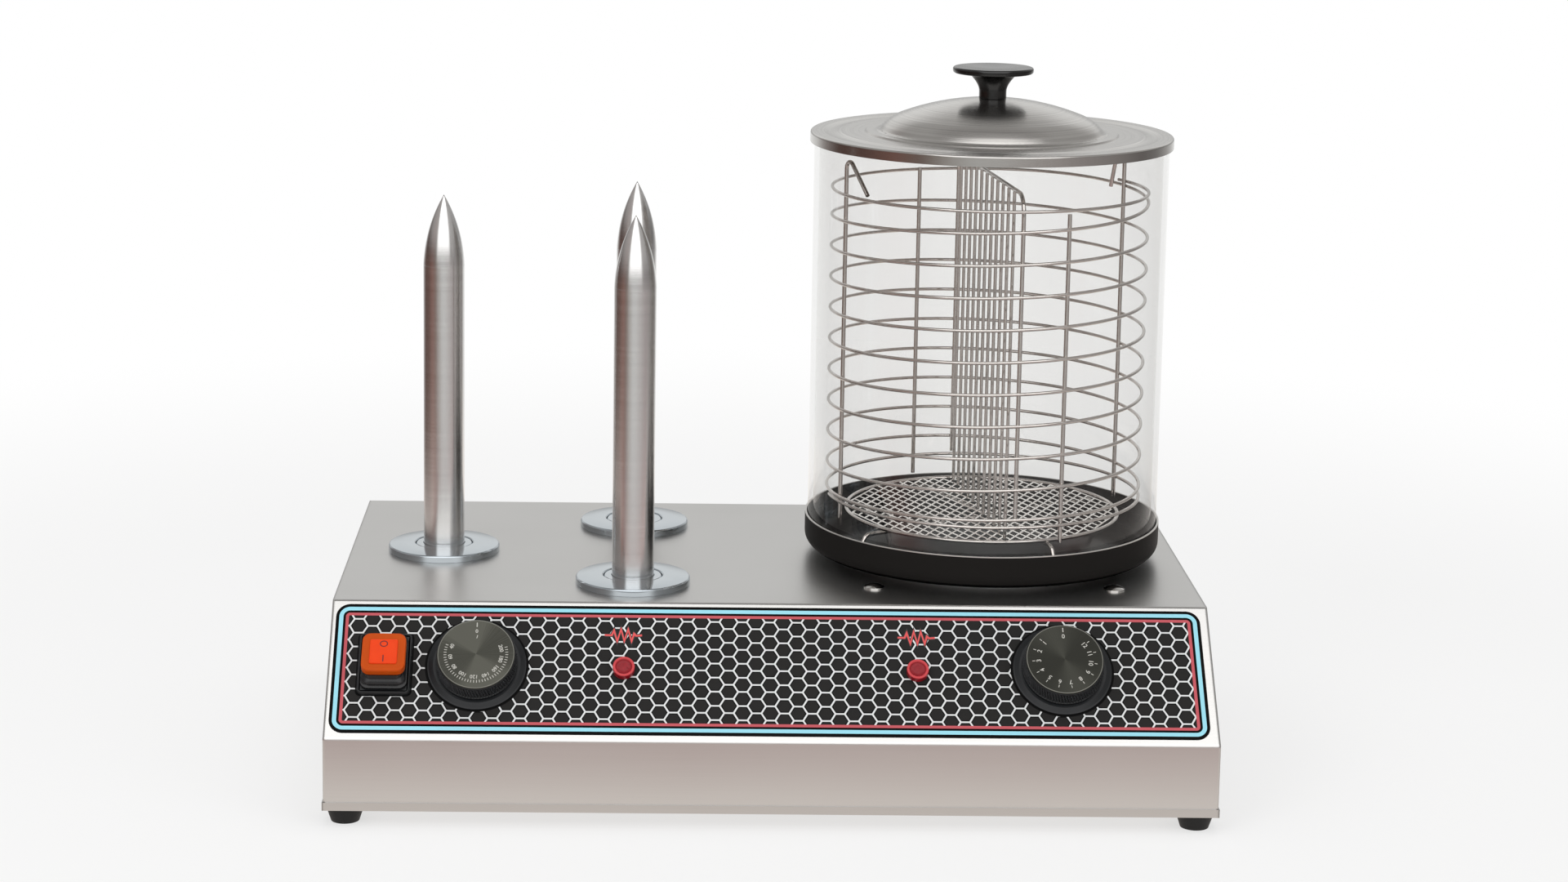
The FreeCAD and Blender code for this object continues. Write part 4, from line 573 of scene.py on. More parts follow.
def brushed(name, colour, roughness):
    """Brushed sheet metal: fine lines along X, and along Y on faces that look along X.

    Its slope is smoother, and its end edges are shaded as if they were round.
    """
    finish = Finish(name, Metallic=1.0)
    spot = finish.place()
    fine = {"scale": 2.6, "detail": 3.0, "roughness": 0.6}
    lines = finish.noise(finish.stretched(spot, (0.004, 1, 1)), **fine)
    end_lines = finish.noise(finish.stretched(spot, (1, 0.004, 1)), **fine)
    streaks = lines + (end_lines - lines) * finish.step(finish.facing(0), 0.6, 0.8)
    clouds = finish.noise(spot, scale=0.012, detail=3.0)
    shade = streaks * 0.1 + clouds * 0.05 + 0.925
    finish.use(Base_Color=finish.mix(shade, BLACK, colour))
    sloping = 1 - finish.step(abs(finish.facing(2) - math.cos(SLOPE)), 0.05, 0.22)
    soft = roughness - sloping * 0.14
    finish.use(Roughness=soft + (streaks - 0.5) * 0.12 + (clouds - 0.5) * 0.06)
    x = finish.parts(spot)[0]
    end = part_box("housing_shell")[1].x / MM
    rounding = finish.math("POWER", finish.step(abs(x), end - 2.2, end + 0.4), 1.5)
    lean = finish.math("SIGN", x) * rounding * 0.9
    leaning = finish.vector_math("ADD", finish.normal(), finish.vector(lean, 0, 0))
    unit = finish.vector_math("NORMALIZE", leaning)
    finish.bump(streaks, distance=0.02, strength=0.2, normal=unit)
    return finish.material


def turned_metal(name, colour, roughness, middle, ring=0.05, upright=False, lines=0.0):
    """Turned metal with fine rings about an axis, by radius or, where upright, by height.

    Its lines are coarser rings, in shade and in relief.
    """
    finish = Finish(name, Metallic=1.0, Anisotropic=0.6, Anisotropic_Rotation=0.25)
    spot = finish.place(middle)
    x, y, z = finish.parts(spot)
    way = z if upright else finish.distance(x, y)
    wobbly = way + finish.noise(spot, scale=0.02, detail=1.0) * 0.4
    rings = finish.noise_along(wobbly, scale=3.0, detail=5.0)
    broad = finish.noise_along(way, scale=0.25, detail=2.0)
    shade, relief = rings * 0.16 + broad * 0.08 + 0.82, rings
    if lines:
        coarse = finish.noise_along(wobbly, scale=0.8, detail=3.0)
        shade = shade + (coarse - 0.5) * lines
        relief = rings + coarse * lines * 3
    finish.use(Base_Color=finish.mix(shade, BLACK, colour))
    finish.use(Roughness=roughness + (rings - 0.5) * 0.16 + (broad - 0.5) * 0.06)
    finish.bump(relief, distance=ring, strength=0.3)
    return finish.material


def plain_metal(name, colour, roughness, grain, scale):
    """Smooth metal with faint clouds and small scuffs."""
    finish = Finish(name, Metallic=1.0)
    spot = finish.place()
    clouds = finish.noise(spot, scale=scale * 0.1, detail=2.0)
    scuffs = finish.noise(spot, scale=scale * 4, detail=3.0, roughness=0.6)
    finish.use(Base_Color=finish.mix(clouds * 0.14 + scuffs * 0.06 + 0.84, BLACK, colour))
    finish.use(Roughness=roughness + (clouds - 0.5) * 0.12 + (scuffs - 0.5) * 0.08)
    finish.bump(scuffs, distance=grain, strength=0.2)
    return finish.material


def moulded(name, colour, roughness, grain, scale, wear, mirror):
    """Moulded plastic or rubber with a fine grain."""
    finish = Finish(name, Specular_IOR_Level=mirror)
    spot = finish.place()
    grains = finish.noise(spot, scale=scale, detail=3.0, roughness=0.6)
    clouds = finish.noise(spot, scale=0.12, detail=2.0)
    lighter = tuple(min(1.0, channel * 1.7 + 0.006) for channel in colour)
    finish.use(Base_Color=finish.mix(clouds * wear + grains * wear, colour, lighter))
    finish.use(Roughness=roughness + (clouds - 0.5) * 0.16 + (grains - 0.5) * 0.08)
    finish.bump(grains, distance=grain, strength=0.35)
    return finish.material


def hexagon_depth(finish, across, up, net):
    """Depth into the nearest hexagon of the net from its edge, in millimetres."""
    wide = net.net_column / MM
    high = wide / math.sqrt(3)
    x = across - net.net_across / MM
    y = (up - net.net_up / MM) * (high * 2 / (net.net_row / MM))
    reaches = []
    for shift_x, shift_y in ((0, 0), (wide, high)):
        wrapped_x = abs(finish.math("WRAP", x - shift_x, wide, -wide))
        wrapped_y = abs(finish.math("WRAP", y - shift_y, high, -high))
        slanted = wrapped_x * (math.sqrt(3) / 2) + wrapped_y * 0.5
        reaches.append(finish.most(wrapped_y, slanted))
    return high - finish.least(*reaches)


def round_box_depth(finish, x, y, half_width, half_length, corner):
    """Depth inside a round-cornered rectangle from its edge; negative outside."""
    out_x = abs(x) - (half_width - corner)
    out_y = abs(y) - (half_length - corner)
    outside = finish.distance(finish.most(out_x, 0), finish.most(out_y, 0))
    return corner - outside - finish.least(finish.most(out_x, out_y), 0)


def overlay_print(net):
    """The printed overlay: stripes round a dark field with a white net of hexagons."""
    finish = Finish("overlay_print", Specular_IOR_Level=0.03)
    x, y, z = finish.parts(finish.place((0, FRONT_Y, FOLD_Z)))
    up = (y + z) * math.cos(SLOPE)
    low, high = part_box("fascia_overlay")
    middle = (low.x + high.x) / 2 / MM
    half_width = (high.x - low.x) / 2 / MM
    start = (low.z - FOLD_Z) / MM / math.sin(SLOPE)
    half_length = (high.z - low.z) / 2 / MM / math.sin(SLOPE) - 0.2
    depth = round_box_depth(
        finish, x - middle, up - start - half_length, half_width, half_length, corner=8.0
    )

    # The net: a white line, a black rim beside it and the cell's own dark inside
    blur = 0.12
    depth_in_cell = hexagon_depth(finish, x, up, net)
    half_line = net.net_line / MM / 2
    rim = half_line + 0.55
    cell = finish.mix(finish.step(depth_in_cell, rim, rim + blur), net.black, net.cell)
    line = 1 - finish.step(depth_in_cell, half_line - blur / 2, half_line + blur / 2)

    # Round the switch and the two controls the field is plain black
    row = PANEL_ROW / MM
    control_radius = 29.3
    clear = round_box_depth(
        finish, x - SWITCH_X / MM, up - row, half_width=15.9, half_length=20.0, corner=3.0
    )
    for across in (THERMOSTAT_X, REGULATOR_X):
        distance = finish.distance(x - across / MM, up - row)
        clear = finish.most(clear, control_radius - distance)
    plain = finish.step(clear, 0, blur)
    field = finish.mix(line * (1 - plain), cell, net.white)
    field = finish.mix(plain, field, net.black)

    # The border's bands, from the depth at which each begins
    colour = net.black
    for begin, band in ((1.85, net.blue), (4.2, net.black), (5.6, net.red), (7.35, field)):
        colour = finish.mix(finish.step(depth, begin - blur / 2, begin + blur / 2), colour, band)
    spot = finish.place()
    dust = finish.noise(spot, scale=0.5, detail=3.0)
    finish.use(Base_Color=colour, Roughness=0.34 + dust * 0.12)
    grains = finish.noise(spot, scale=2.2, detail=2.0)
    finish.bump(grains, distance=0.02, strength=0.3)
    return finish.material


def clear_glass():
    """Thin clear glass: it lets light straight through and mirrors more towards its edges."""
    finish = Finish("clear_glass", Roughness=0.02, Base_Color=(0.97, 0.97, 0.965), Metallic=1.0)
    through = finish.node("BsdfTransparent", inputs={"Color": (0.966, 0.966, 0.963)})
    upright = finish.stretched(finish.place(), (1, 1, 0.1))
    streaks = finish.noise(upright, scale=0.05, detail=2.0)
    grazing = finish.number(finish.node("LayerWeight", inputs={"Blend": 0.5}).outputs["Facing"])
    share = 0.035 + streaks * 0.01 + finish.math("POWER", grazing, 5.0) * 0.6
    finish.mix_shaders(share, through, finish.shader)
    return finish.material


def pan_enamel():
    """Black enamelled pan: grained outside, smooth inside, with a bare bright edge on its lip."""
    finish = Finish("pan_black", Specular_IOR_Level=0.012)
    spot = finish.place(STEAMER)
    x, y, z = finish.parts(spot)
    rim = (PAN_TOP - STEAMER.z) / MM
    bare = finish.step(z, rim - 0.5, rim - 0.35)
    inner = 105.0
    outside = finish.step(finish.distance(x, y), inner - 0.5, inner + 0.5)
    grains = finish.noise(spot, scale=1.6, detail=3.0, roughness=0.6)
    spots = finish.noise(spot, scale=0.9, detail=3.0, roughness=0.7)
    speck = finish.step(spots, 0.66, 0.72) * outside
    dark = finish.mix(outside, (0.003, 0.003, 0.003), (0.018, 0.0165, 0.0155))
    dark = finish.mix(speck * 0.3, dark, (0.03, 0.028, 0.027))
    finish.use(Base_Color=finish.mix(bare, dark, (0.66, 0.65, 0.63)), Metallic=bare)
    finish.use(Roughness=0.12 + outside * 0.3 + (grains - 0.5) * 0.12 * outside)
    finish.bump(grains * outside, distance=0.12, strength=0.35)
    return finish.material


def dial_face(middle, light):
    """Dark sheet of a dial plate with radial lines, a painted sheen in two opposite bright sectors,
    and a light factor that paints the whole plate lighter or darker.
    """
    finish = Finish("dial_plate", Metallic=0.85)
    x, y, z = finish.parts(finish.place(on_panel(middle).translation))
    up = (y + z) * math.cos(SLOPE)
    distance = finish.distance(x, up)
    turn = finish.math("ARCTAN2", up, x)
    rays = finish.noise_along(turn, scale=26.0, detail=4.0)
    # Painted sheen: two opposite bright sectors painted into the colour as the plate's highlight
    painted_sheen = finish.math("POWER", abs(finish.math("SINE", turn - 0.35)), 5.0)
    rings = finish.noise_along(distance, scale=4.0, detail=3.0)
    # The light factor is painted light: each plate's colour is scaled lighter or darker
    shade = (rays * 0.3 + painted_sheen * 0.55 + rings * 0.12) * light
    sheet = finish.mix(shade, (0.016, 0.016, 0.013), (0.085, 0.085, 0.071))
    bare = finish.step(distance, 21.0, 21.15) * (1 - finish.step(distance, 21.5, 21.65))
    finish.use(Base_Color=finish.mix(bare, sheet, (0.17, 0.17, 0.15)))
    finish.use(Roughness=0.36 + (rays - 0.5) * 0.12)
    finish.bump(rays, distance=0.01, strength=0.2)
    return finish.material


def lamp_red():
    """Clear red moulding of a lamp: painted shade makes it deep in its well, and a painted
    highlight makes it light on its raised rim.
    """
    finish = Finish("lamp_red", Coat_Weight=0.1, Coat_Roughness=0.1, Specular_IOR_Level=0.25)
    spot = finish.place((0, FRONT_Y, FOLD_Z))
    _, y, z = finish.parts(spot)
    out = (z - y) * math.sin(SLOPE)
    clouds = finish.noise(spot, scale=0.7, detail=2.0)
    # Painted shade and highlight: deep red in the well, mottled by the clouds, and a lighter red on
    # the raised rim
    deep = finish.mix(clouds, (0.16, 0.002, 0.007), (0.38, 0.012, 0.022))
    rim = finish.step(out, 3.5, 4.5)
    finish.use(Base_Color=finish.mix(rim, deep, (0.62, 0.06, 0.07)))
    finish.use(Roughness=0.24 + clouds * 0.1)
    finish.bump(clouds, distance=0.05, strength=0.2)
    return finish.material


def orange_plastic(name, colour, deep):
    """Translucent orange plastic of the rocker."""
    finish = Finish(name, Coat_Weight=0.04, Coat_Roughness=0.15, Specular_IOR_Level=0.15)
    reach = (0.004, 0.001, 0.0005)
    finish.use(Subsurface_Weight=0.15, Subsurface_Radius=reach, Subsurface_Scale=0.5)
    spot = finish.place()
    clouds = finish.noise(spot, scale=0.18, detail=2.0)
    grains = finish.noise(spot, scale=4.0, detail=2.0)
    finish.use(Base_Color=finish.mix(clouds, deep, colour), Roughness=0.33 + grains * 0.1)
    finish.bump(grains, distance=0.02, strength=0.2)
    return finish.material


# Smooth metals: colour, roughness, depth of the scuffs in millimetres and their scale
SMOOTH_METALS = {
    "flange_chrome": ((0.475, 0.52, 0.555), 0.08, 0.02, 0.6),
    "screw_steel": ((0.66, 0.65, 0.63), 0.13, 0.02, 0.6),
    "wire_steel": ((0.7, 0.665, 0.64), 0.07, 0.02, 1.5),
    "mesh_steel": ((0.9, 0.87, 0.84), 0.2, 0.02, 1.5),
    "cast_plate": ((0.42, 0.42, 0.42), 0.5, 0.15, 0.5),
    "heater_sheath": ((0.3, 0.27, 0.25), 0.42, 0.05, 0.9),
    "copper_tube": ((0.72, 0.4, 0.26), 0.34, 0.02, 0.9),
}

# Mouldings and prints: colour, roughness, depth of the grain in millimetres, its scale, how much
# lighter the worn places are, and how much they mirror
MOULDINGS = {
    "foot_rubber": ((0.009, 0.009, 0.0095), 0.6, 0.08, 1.2, 0.12, 0.25),
    "boot_rubber": ((0.009, 0.009, 0.01), 0.24, 0.03, 2.0, 0.12, 0.4),
    "black_plastic": ((0.011, 0.012, 0.013), 0.34, 0.03, 3.0, 0.12, 0.3),
    "knurl_plastic": ((0.03, 0.031, 0.033), 0.26, 0.02, 3.0, 0.12, 0.5),
    "bezel_grey": ((0.008, 0.009, 0.0105), 0.36, 0.04, 2.5, 0.12, 0.3),
    "knob_black": ((0.005, 0.005, 0.005), 0.12, 0.01, 0.8, 0.05, 0.5),
    "control_case": ((0.42, 0.4, 0.35), 0.5, 0.03, 2.0, 0.12, 0.5),
    "terminal_ceramic": ((0.74, 0.72, 0.66), 0.4, 0.04, 1.6, 0.12, 0.5),
    "white_print": ((0.5, 0.49, 0.45), 0.5, 0.01, 3.0, 0.12, 0.5),
    "black_print": ((0.01, 0.01, 0.01), 0.45, 0.01, 3.0, 0.12, 0.5),
    "red_print": ((0.72, 0.075, 0.075), 0.42, 0.01, 3.0, 0.12, 0.5),
    "sign_print": ((0.1, 0.008, 0.01), 0.42, 0.01, 3.0, 0.12, 0.5),
}


def make_finishes(net):
    """Every finish by its name."""
    lid_colour, spike_colour = (0.545, 0.53, 0.51), (0.76, 0.755, 0.75)
    made = {
        "housing_steel": brushed("housing_steel", (0.575, 0.569, 0.558), 0.35),
        "tray_steel": brushed("tray_steel", (0.5, 0.49, 0.48), 0.32),
        "lid_steel": turned_metal("lid_steel", lid_colour, 0.22, STEAMER, 0.08, lines=0.45),
        "rocker_border": orange_plastic("rocker_border", (0.6, 0.08, 0.002), (0.52, 0.066, 0.002)),
        "rocker_window": orange_plastic("rocker_window", (0.92, 0.07, 0.01), (0.84, 0.056, 0.008)),
        "pan_black": pan_enamel(),
        "clear_glass": clear_glass(),
        "overlay_print": overlay_print(net),
        # The light factors are painted light: the thermostat's plate is painted lighter, the
        # regulator's darker
        "thermostat_plate": dial_face(THERMOSTAT_X, 2.3),
        "regulator_plate": dial_face(REGULATOR_X, 0.55),
        "lamp_red": lamp_red(),
    }
    for side in SPIKES:
        name = "spike_" + side
        made[name] = turned_metal(
            name + "_aluminium", spike_colour, 0.22, middle_of(name), upright=True
        )
    for name, values in SMOOTH_METALS.items():
        made[name] = plain_metal(name, *values)
    for name, values in MOULDINGS.items():
        made[name] = moulded(name, *values)
    return made


# Every finish by its name once it is made, and the nodes that take each
FINISHES = {}

NODE_FINISHES = {
    "housing_steel": ("housing_shell",),
    "tray_steel": ("base_tray",),
    "lid_steel": ("lid_shell",),
    "flange_chrome": ("spike_flange_left", "spike_flange_front", "spike_flange_rear"),
    "screw_steel": (
        "side_screws", "foot_screws", "pan_screws", "pan_nuts", "stud_nut", "spike_nuts",
        "spike_seats", "lid_screw", "thermostat_shaft", "regulator_shaft", "element_clamp",
    ),
    "wire_steel": (
        "rack_ring", "rack_legs", "basket_coil", "basket_hooks", "basket_posts", "basket_divider",
    ),
    "cast_plate": ("heater_plate",),
    "heater_sheath": (
        "ring_element", "spike_heater_left", "spike_heater_front", "spike_heater_rear",
    ),
    "copper_tube": ("thermostat_bulb",),
    "spike_left": ("spike_left",),
    "spike_front": ("spike_front",),
    "spike_rear": ("spike_rear",),
    "foot_rubber": ("foot_front_left", "foot_front_right", "foot_rear_left", "foot_rear_right"),
    "black_plastic": (
        "cable_gland", "gland_nut", "lamp_left_body", "lamp_right_body", "switch_body",
    ),
    "knob_black": ("lid_knob",),
    "control_case": ("thermostat_body", "regulator_body"),
    "terminal_ceramic": ("terminal_block",),
    "pan_black": ("water_pan",),
    "clear_glass": ("glass_cylinder",),
    "overlay_print": ("fascia_overlay",),
}


def kept(piece, body, slot, *nodes):
    """Let a finished piece ride on its body and stand for its nodes; the slot is not used."""
    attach(piece, body)
    if nodes:
        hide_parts(*nodes)
    return piece


# ---- Sizes and colours ----


class PrintSizes(bpy.types.PropertyGroup):
    """The print on the sloping panel."""

    net_column: FloatProperty(
        name="Column spacing", description="From one column of hexagons to the next",
        default=7.775 * MM, unit="LENGTH", precision=5,
    )
    net_row: FloatProperty(
        name="Row spacing", description="From one hexagon to the next up the panel",
        default=8.905 * MM, unit="LENGTH", precision=5,
    )
    net_line: FloatProperty(
        name="Line width", description="Width of the net's white line",
        default=1.0 * MM, unit="LENGTH", precision=5,
    )
    net_across: FloatProperty(
        name="Middle across", description="Middle of one hexagon from the panel's middle",
        default=61.33 * MM, unit="LENGTH", precision=5,
    )
    net_up: FloatProperty(
        name="Middle up", description="Middle of one hexagon from the lower fold",
        default=35.7 * MM, unit="LENGTH", precision=5,
    )
    white: FloatVectorProperty(
        name="Net", description="Colour of the net's lines",
        default=(0.78, 0.79, 0.79), subtype="COLOR",
    )
    cell: FloatVectorProperty(
        name="Cell", description="Colour inside a hexagon",
        default=(0.026, 0.025, 0.0245), subtype="COLOR",
    )
    black: FloatVectorProperty(
        name="Black", description="Colour of the field's edges",
        default=(0.005, 0.005, 0.005), subtype="COLOR",
    )
    blue: FloatVectorProperty(
        name="Outer stripe", description="Colour of the outer stripe",
        default=(0.38, 0.79, 0.92), subtype="COLOR",
    )
    red: FloatVectorProperty(
        name="Inner stripe", description="Colour of the inner stripe",
        default=(0.6, 0.12, 0.14), subtype="COLOR",
    )


class ControlSizes(bpy.types.PropertyGroup):
    """The two rotary controls."""

    knob_radius: FloatProperty(
        name="Knob radius", description="Radius of the knob at its foot",
        default=23.0 * MM, unit="LENGTH",
    )
    knob_top_radius: FloatProperty(
        name="Knob top radius", description="Radius of the knob at its top",
        default=22.25 * MM, unit="LENGTH",
    )
    rib_count: IntProperty(
        name="Ribs", description="Ribs round each knob", default=84, min=12,
    )
    rib_width: FloatProperty(
        name="Rib width", description="Width of one rib",
        default=0.9 * MM, unit="LENGTH",
    )
    rib_slant: FloatProperty(
        name="Rib slant", description="Lean of the ribs",
        default=math.radians(14), subtype="ANGLE",
    )


class SpikeSizes(bpy.types.PropertyGroup):
    """The bun spikes."""

    radius: FloatProperty(
        name="Radius", description="Radius of the barrel",
        default=12.25 * MM, unit="LENGTH", precision=5,
    )
    barrel: FloatProperty(
        name="Barrel", description="Length of the barrel",
        default=171.9 * MM, unit="LENGTH", precision=5,
    )
    point: FloatProperty(
        name="Point", description="Length of the pointed tip",
        default=41.75 * MM, unit="LENGTH", precision=5,
    )
    shoulder: FloatProperty(
        name="Shoulder", description="Angle between barrel and tip",
        default=math.radians(2.5), subtype="ANGLE",
    )


class RackSizes(bpy.types.PropertyGroup):
    """The expanded sheet of the rack."""

    pitch_across: FloatProperty(
        name="Across", description="From one diamond to the next across",
        default=6.6 * MM, unit="LENGTH",
    )
    pitch_along: FloatProperty(
        name="Along", description="Length of one diamond",
        default=13.8 * MM, unit="LENGTH",
    )
    strand: FloatProperty(
        name="Strand", description="Width of one strand",
        default=1.1 * MM, unit="LENGTH",
    )


class StageSizes(bpy.types.PropertyGroup):
    """Camera and light."""

    camera_place: FloatVectorProperty(
        name="Camera", description="Place of the camera",
        default=(-0.06664, -1.89717, 0.61409), subtype="TRANSLATION",
    )
    camera_yaw: FloatProperty(
        name="Yaw", description="Camera's turn to the right",
        default=math.radians(0.79905), subtype="ANGLE",
    )
    camera_pitch: FloatProperty(
        name="Pitch", description="Camera's look downwards",
        default=math.radians(9.82975), subtype="ANGLE",
    )
    camera_roll: FloatProperty(
        name="Roll", description="Camera's roll",
        default=math.radians(0.73112), subtype="ANGLE",
    )
    lens: FloatProperty(
        name="Lens", description="Focal length", default=74.797, unit="CAMERA",
    )
    light: FloatProperty(
        name="Light", description="Strength of the key light", default=16.0,
    )


GROUPS = {
    "steamer_print": PrintSizes,
    "steamer_controls": ControlSizes,
    "steamer_spikes": SpikeSizes,
    "steamer_rack": RackSizes,
    "steamer_stage": StageSizes,
}


# ---- Pieces ----


class STEAMER_OT_finishes(bpy.types.Operator):
    """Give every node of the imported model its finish"""

    bl_idname = "steamer.finishes"
    bl_label = "Finishes"

    def execute(self, context):
        FINISHES.update(make_finishes(context.scene.steamer_print))
        for name, nodes in NODE_FINISHES.items():
            for node in nodes:
                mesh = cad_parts[node].data
                mesh.materials.clear()
                mesh.materials.append(FINISHES[name])
        return {"FINISHED"}


class STEAMER_OT_spikes(bpy.types.Operator):
    """Turn the pointed spikes, their chromed flanges and the seats in them"""

    bl_idname = "steamer.spikes"
    bl_label = "Bun spikes"

    def execute(self, context):
        sizes = context.scene.steamer_spikes
        radius, barrel, point = sizes.radius / MM, sizes.barrel / MM, sizes.point / MM
        groove = radius - 0.3
        spike = [
            (radius - 0.4, 0), (radius, 0.4), (radius, barrel - 0.6), (groove, barrel - 0.55),
            (groove, barrel - 0.05), (radius, barrel),
        ]
        spike += ogive(radius, barrel, point, sizes.shoulder)[1:]
        spike += [(0, 152.2), (8.2, 152.2), (8.2, 12.5), (10.02, 12.5), (10.02, 0)]
        flange = [
            (17.3, 0), (33.5, 0, 0.2), (33.5, 3.3, 0.4), (32.7, 4.1, 0.4), (26.0, 4.6),
            (17.9, 4.8, 0.2), (17.3, 4.3), (17.3, 0),
        ]
        flange = filleted(flange, 0)[:-1]
        seat = [
            (8.2, -16.0), (10.0, -16.0), (10.0, 0), (17.1, 0), (17.1, 3.7), (16.4, 4.4),
            (12.7, 4.4), (12.45, 3.5), (10.0, 3.5), (10.0, 15.5), (8.2, 15.5),
        ]
        chrome = FINISHES["flange_chrome"]
        seats = []
        for side in SPIKES:
            name = "spike_" + side
            place = standing(name)
            piece = lathed(name + "_skin", spike, FINISHES[name], place, 128, True, sharp=20)
            kept(piece, "housing", "spike_aluminium", name)
            roof = standing(name, "spike_flange_" + side)
            piece = lathed(name + "_flange", flange, chrome, roof, 128, True, sharp=50)
            kept(piece, "housing", "flange_chrome", "spike_flange_" + side)
            seats.append(lathed(name + "_seat", seat, chrome, roof, ring=True))
        kept(merged("spike_seat_rings", seats), "housing", "flange_chrome", "spike_seats")
        return {"FINISHED"}


class STEAMER_OT_knob(bpy.types.Operator):
    """Turn the lid's knob with its round rim and dished top"""

    bl_idname = "steamer.knob"
    bl_label = "Lid knob"

    def execute(self, context):
        low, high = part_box("lid_knob")
        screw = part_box("lid_screw")[1]
        gap = 0.03
        bore = (screw.x - middle_of("lid_knob").x) / MM + gap
        hollow = (screw.z - low.z) / MM + gap
        top = (high.z - low.z) / MM
        flare = []
        for index in range(9):
            share = index / 8
            flare.append((8.15 + 5.35 * (1 - math.cos(share * 1.25)) / 0.685, 4 + 9.6 * share))
        line = [
            (bore, 0), (8.15, 0, 0.2), *flare, (15.0, 14.3, 0.6), (24.0, 14.9, 1.9),
            (24.0, top, 1.7), (20.6, top, 0.4), (13, top - 0.8), (6, top - 1.25), (0, top - 1.4),
        ]
        line = filleted(line, 0, 6) + [(0, hollow), (bore, hollow)]
        place, black = standing("lid_knob"), FINISHES["knob_black"]
        piece = lathed("lid_knob_grip", line, black, place, ring=True, sharp=40)
        kept(piece, "lid", "knob_black", "lid_knob")
        return {"FINISHED"}


# The rocker turns about a pivot this far below the panel, and its upper end is pressed in
ROCKER_PIVOT = 3 * MM
ROCKER_TILT = math.radians(-4)


class STEAMER_OT_switch(bpy.types.Operator):
    """Build the rocker switch: frame, bellows, cap, window and signs"""

    bl_idname = "steamer.switch"
    bl_label = "Rocker switch"

    def execute(self, context):
        place = on_panel(SWITCH_X)
        side = [(0, 0.4), (0, 1.5), (0.25, 2.1), (0.8, 2.5), (1.3, 2.5), (1.6, 2.2), (1.7, 0.4)]
        black = FINISHES["black_plastic"]
        piece = slab("switch_bezel", 30.3, 38.6, 3.0, side, black, place, ring=True)
        kept(piece, "housing", "black_plastic", "switch_frame")
        piece = self.bellows(place)
        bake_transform(piece)
        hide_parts("switch_boot")

        # The cap is drawn about its pivot, with its upper end pressed in
        place = on_panel(SWITCH_X, height=-ROCKER_PIVOT, tilt=ROCKER_TILT)
        cap = [(1.2, 11.9), (0, 11.9, 0.5), (0, 16.7, 1.0), (3.0, 16.45, 0.6), (3.6, 16.5)]
        cap = filleted(cap, 0.5)
        piece = slab("switch_cap", 24.6, 25.0, 4.8, cap, FINISHES["rocker_border"], place)
        kept(piece, "rocker", "rocker_orange", "switch_rocker")
        window = filleted([(0, 16.3), (0, 17.0, 0.3), (0.5, 17.3, 0.3), (1.2, 17.3)], 0.3)
        piece = slab("switch_window", 15.6, 16.0, 1.2, window, FINISHES["rocker_window"], place)
        kept(piece, "rocker", "rocker_orange")
        turns = [2 * math.pi * index / 32 for index in range(33)]
        circle = [(2.0 * math.cos(turn), 4.8 + 1.75 * math.sin(turn)) for turn in turns]
        face = 17.28
        shape = bmesh.new()
        ribbon(shape, circle, 0.6, face, 0.05)
        ribbon(shape, [(0, -2.6), (0, -6.9)], 0.65, face, 0.05)
        piece = finished("switch_signs", shape, FINISHES["sign_print"], place)
        kept(piece, "rocker", "rocker_orange")
        return {"FINISHED"}

    def bellows(self, place):
        """The boot: its folds narrow and widen, and its top follows the cap."""
        folds = [
            (26.2, 33.6, 2.0), (26.4, 33.8, 2.9), (26.0, 33.4, 3.6), (23.4, 30.8, 4.0),
            (23.0, 30.4, 4.4), (23.6, 31.0, 4.8), (25.2, 32.2, 5.2), (25.4, 32.4, 5.8),
            (24.8, 31.6, 6.5), (22.0, 28.2, 7.0), (21.6, 27.4, 7.4), (22.4, 26.6, 7.8),
            (23.8, 26.0, 8.2), (24.0, 25.2, 8.7),
        ]
        foot, top = folds[0][2], folds[-1][2]
        raised = Matrix.Translation((0, 0, ROCKER_PIVOT))
        pressed = raised.inverted() @ Matrix.Rotation(ROCKER_TILT, 4, "X") @ raised
        shape = bmesh.new()
        loops = []
        for width, length, height in folds:
            loop = round_loop(shape, width, length, 4.5, height)
            share = (height - foot) / (top - foot)
            for vertex in loop:
                vertex.co = vertex.co.lerp(pressed @ vertex.co, share)
            loops.append(loop)
        skinned(shape, loops, closed=False)
        capped(shape, loops)
        return finished("switch_bellows", shape, FINISHES["boot_rubber"], place, 50)


# Height of the dial plates above the panel, in millimetres
DIAL_TOP = 14.0


def knurl(name, sizes, low, high, material, place):
    """Slanted ribs round a knob."""
    pattern = Pattern(
        name,
        Foot_radius=sizes.knob_radius,
        Top_radius=sizes.knob_top_radius,
        Low=low * MM,
        High=high * MM,
        Count=sizes.rib_count,
        Rib_width=sizes.rib_width,
        Slant=sizes.rib_slant,
    )
    width, count = pattern.size("Rib_width"), pattern.size("Count")
    low_at, high_at = pattern.size("Low"), pattern.size("High")
    foot, top = pattern.size("Foot_radius"), pattern.size("Top_radius")
    height = high_at - low_at

    # A square bar with an edge outwards, slanted and then leant in with the knob's side
    covered, sunk = 0.97, 0.7
    rib = pattern.bar(width, width, height * covered / math.cos(sizes.rib_slant))
    rib = pattern.turned(rib, (0, 0, math.pi / 4))
    rib = pattern.turned(rib, pattern.vector(pattern.size("Slant"), 0, 0))
    lean = pattern.math("ARCTAN2", foot - top, height)
    rib = pattern.turned(rib, pattern.vector(0, 0 - lean, 0))
    angle = pattern.index() / count * (2 * math.pi)
    radius = (foot + top) / 2 - width * sunk
    points = pattern.row_of_points(count, pattern.on_circle(radius, angle, (low_at + high_at) / 2))
    ribs = pattern.on_points(points, rib, pattern.vector(0, 0, angle))
    return pattern.bake([ribs], material, place)


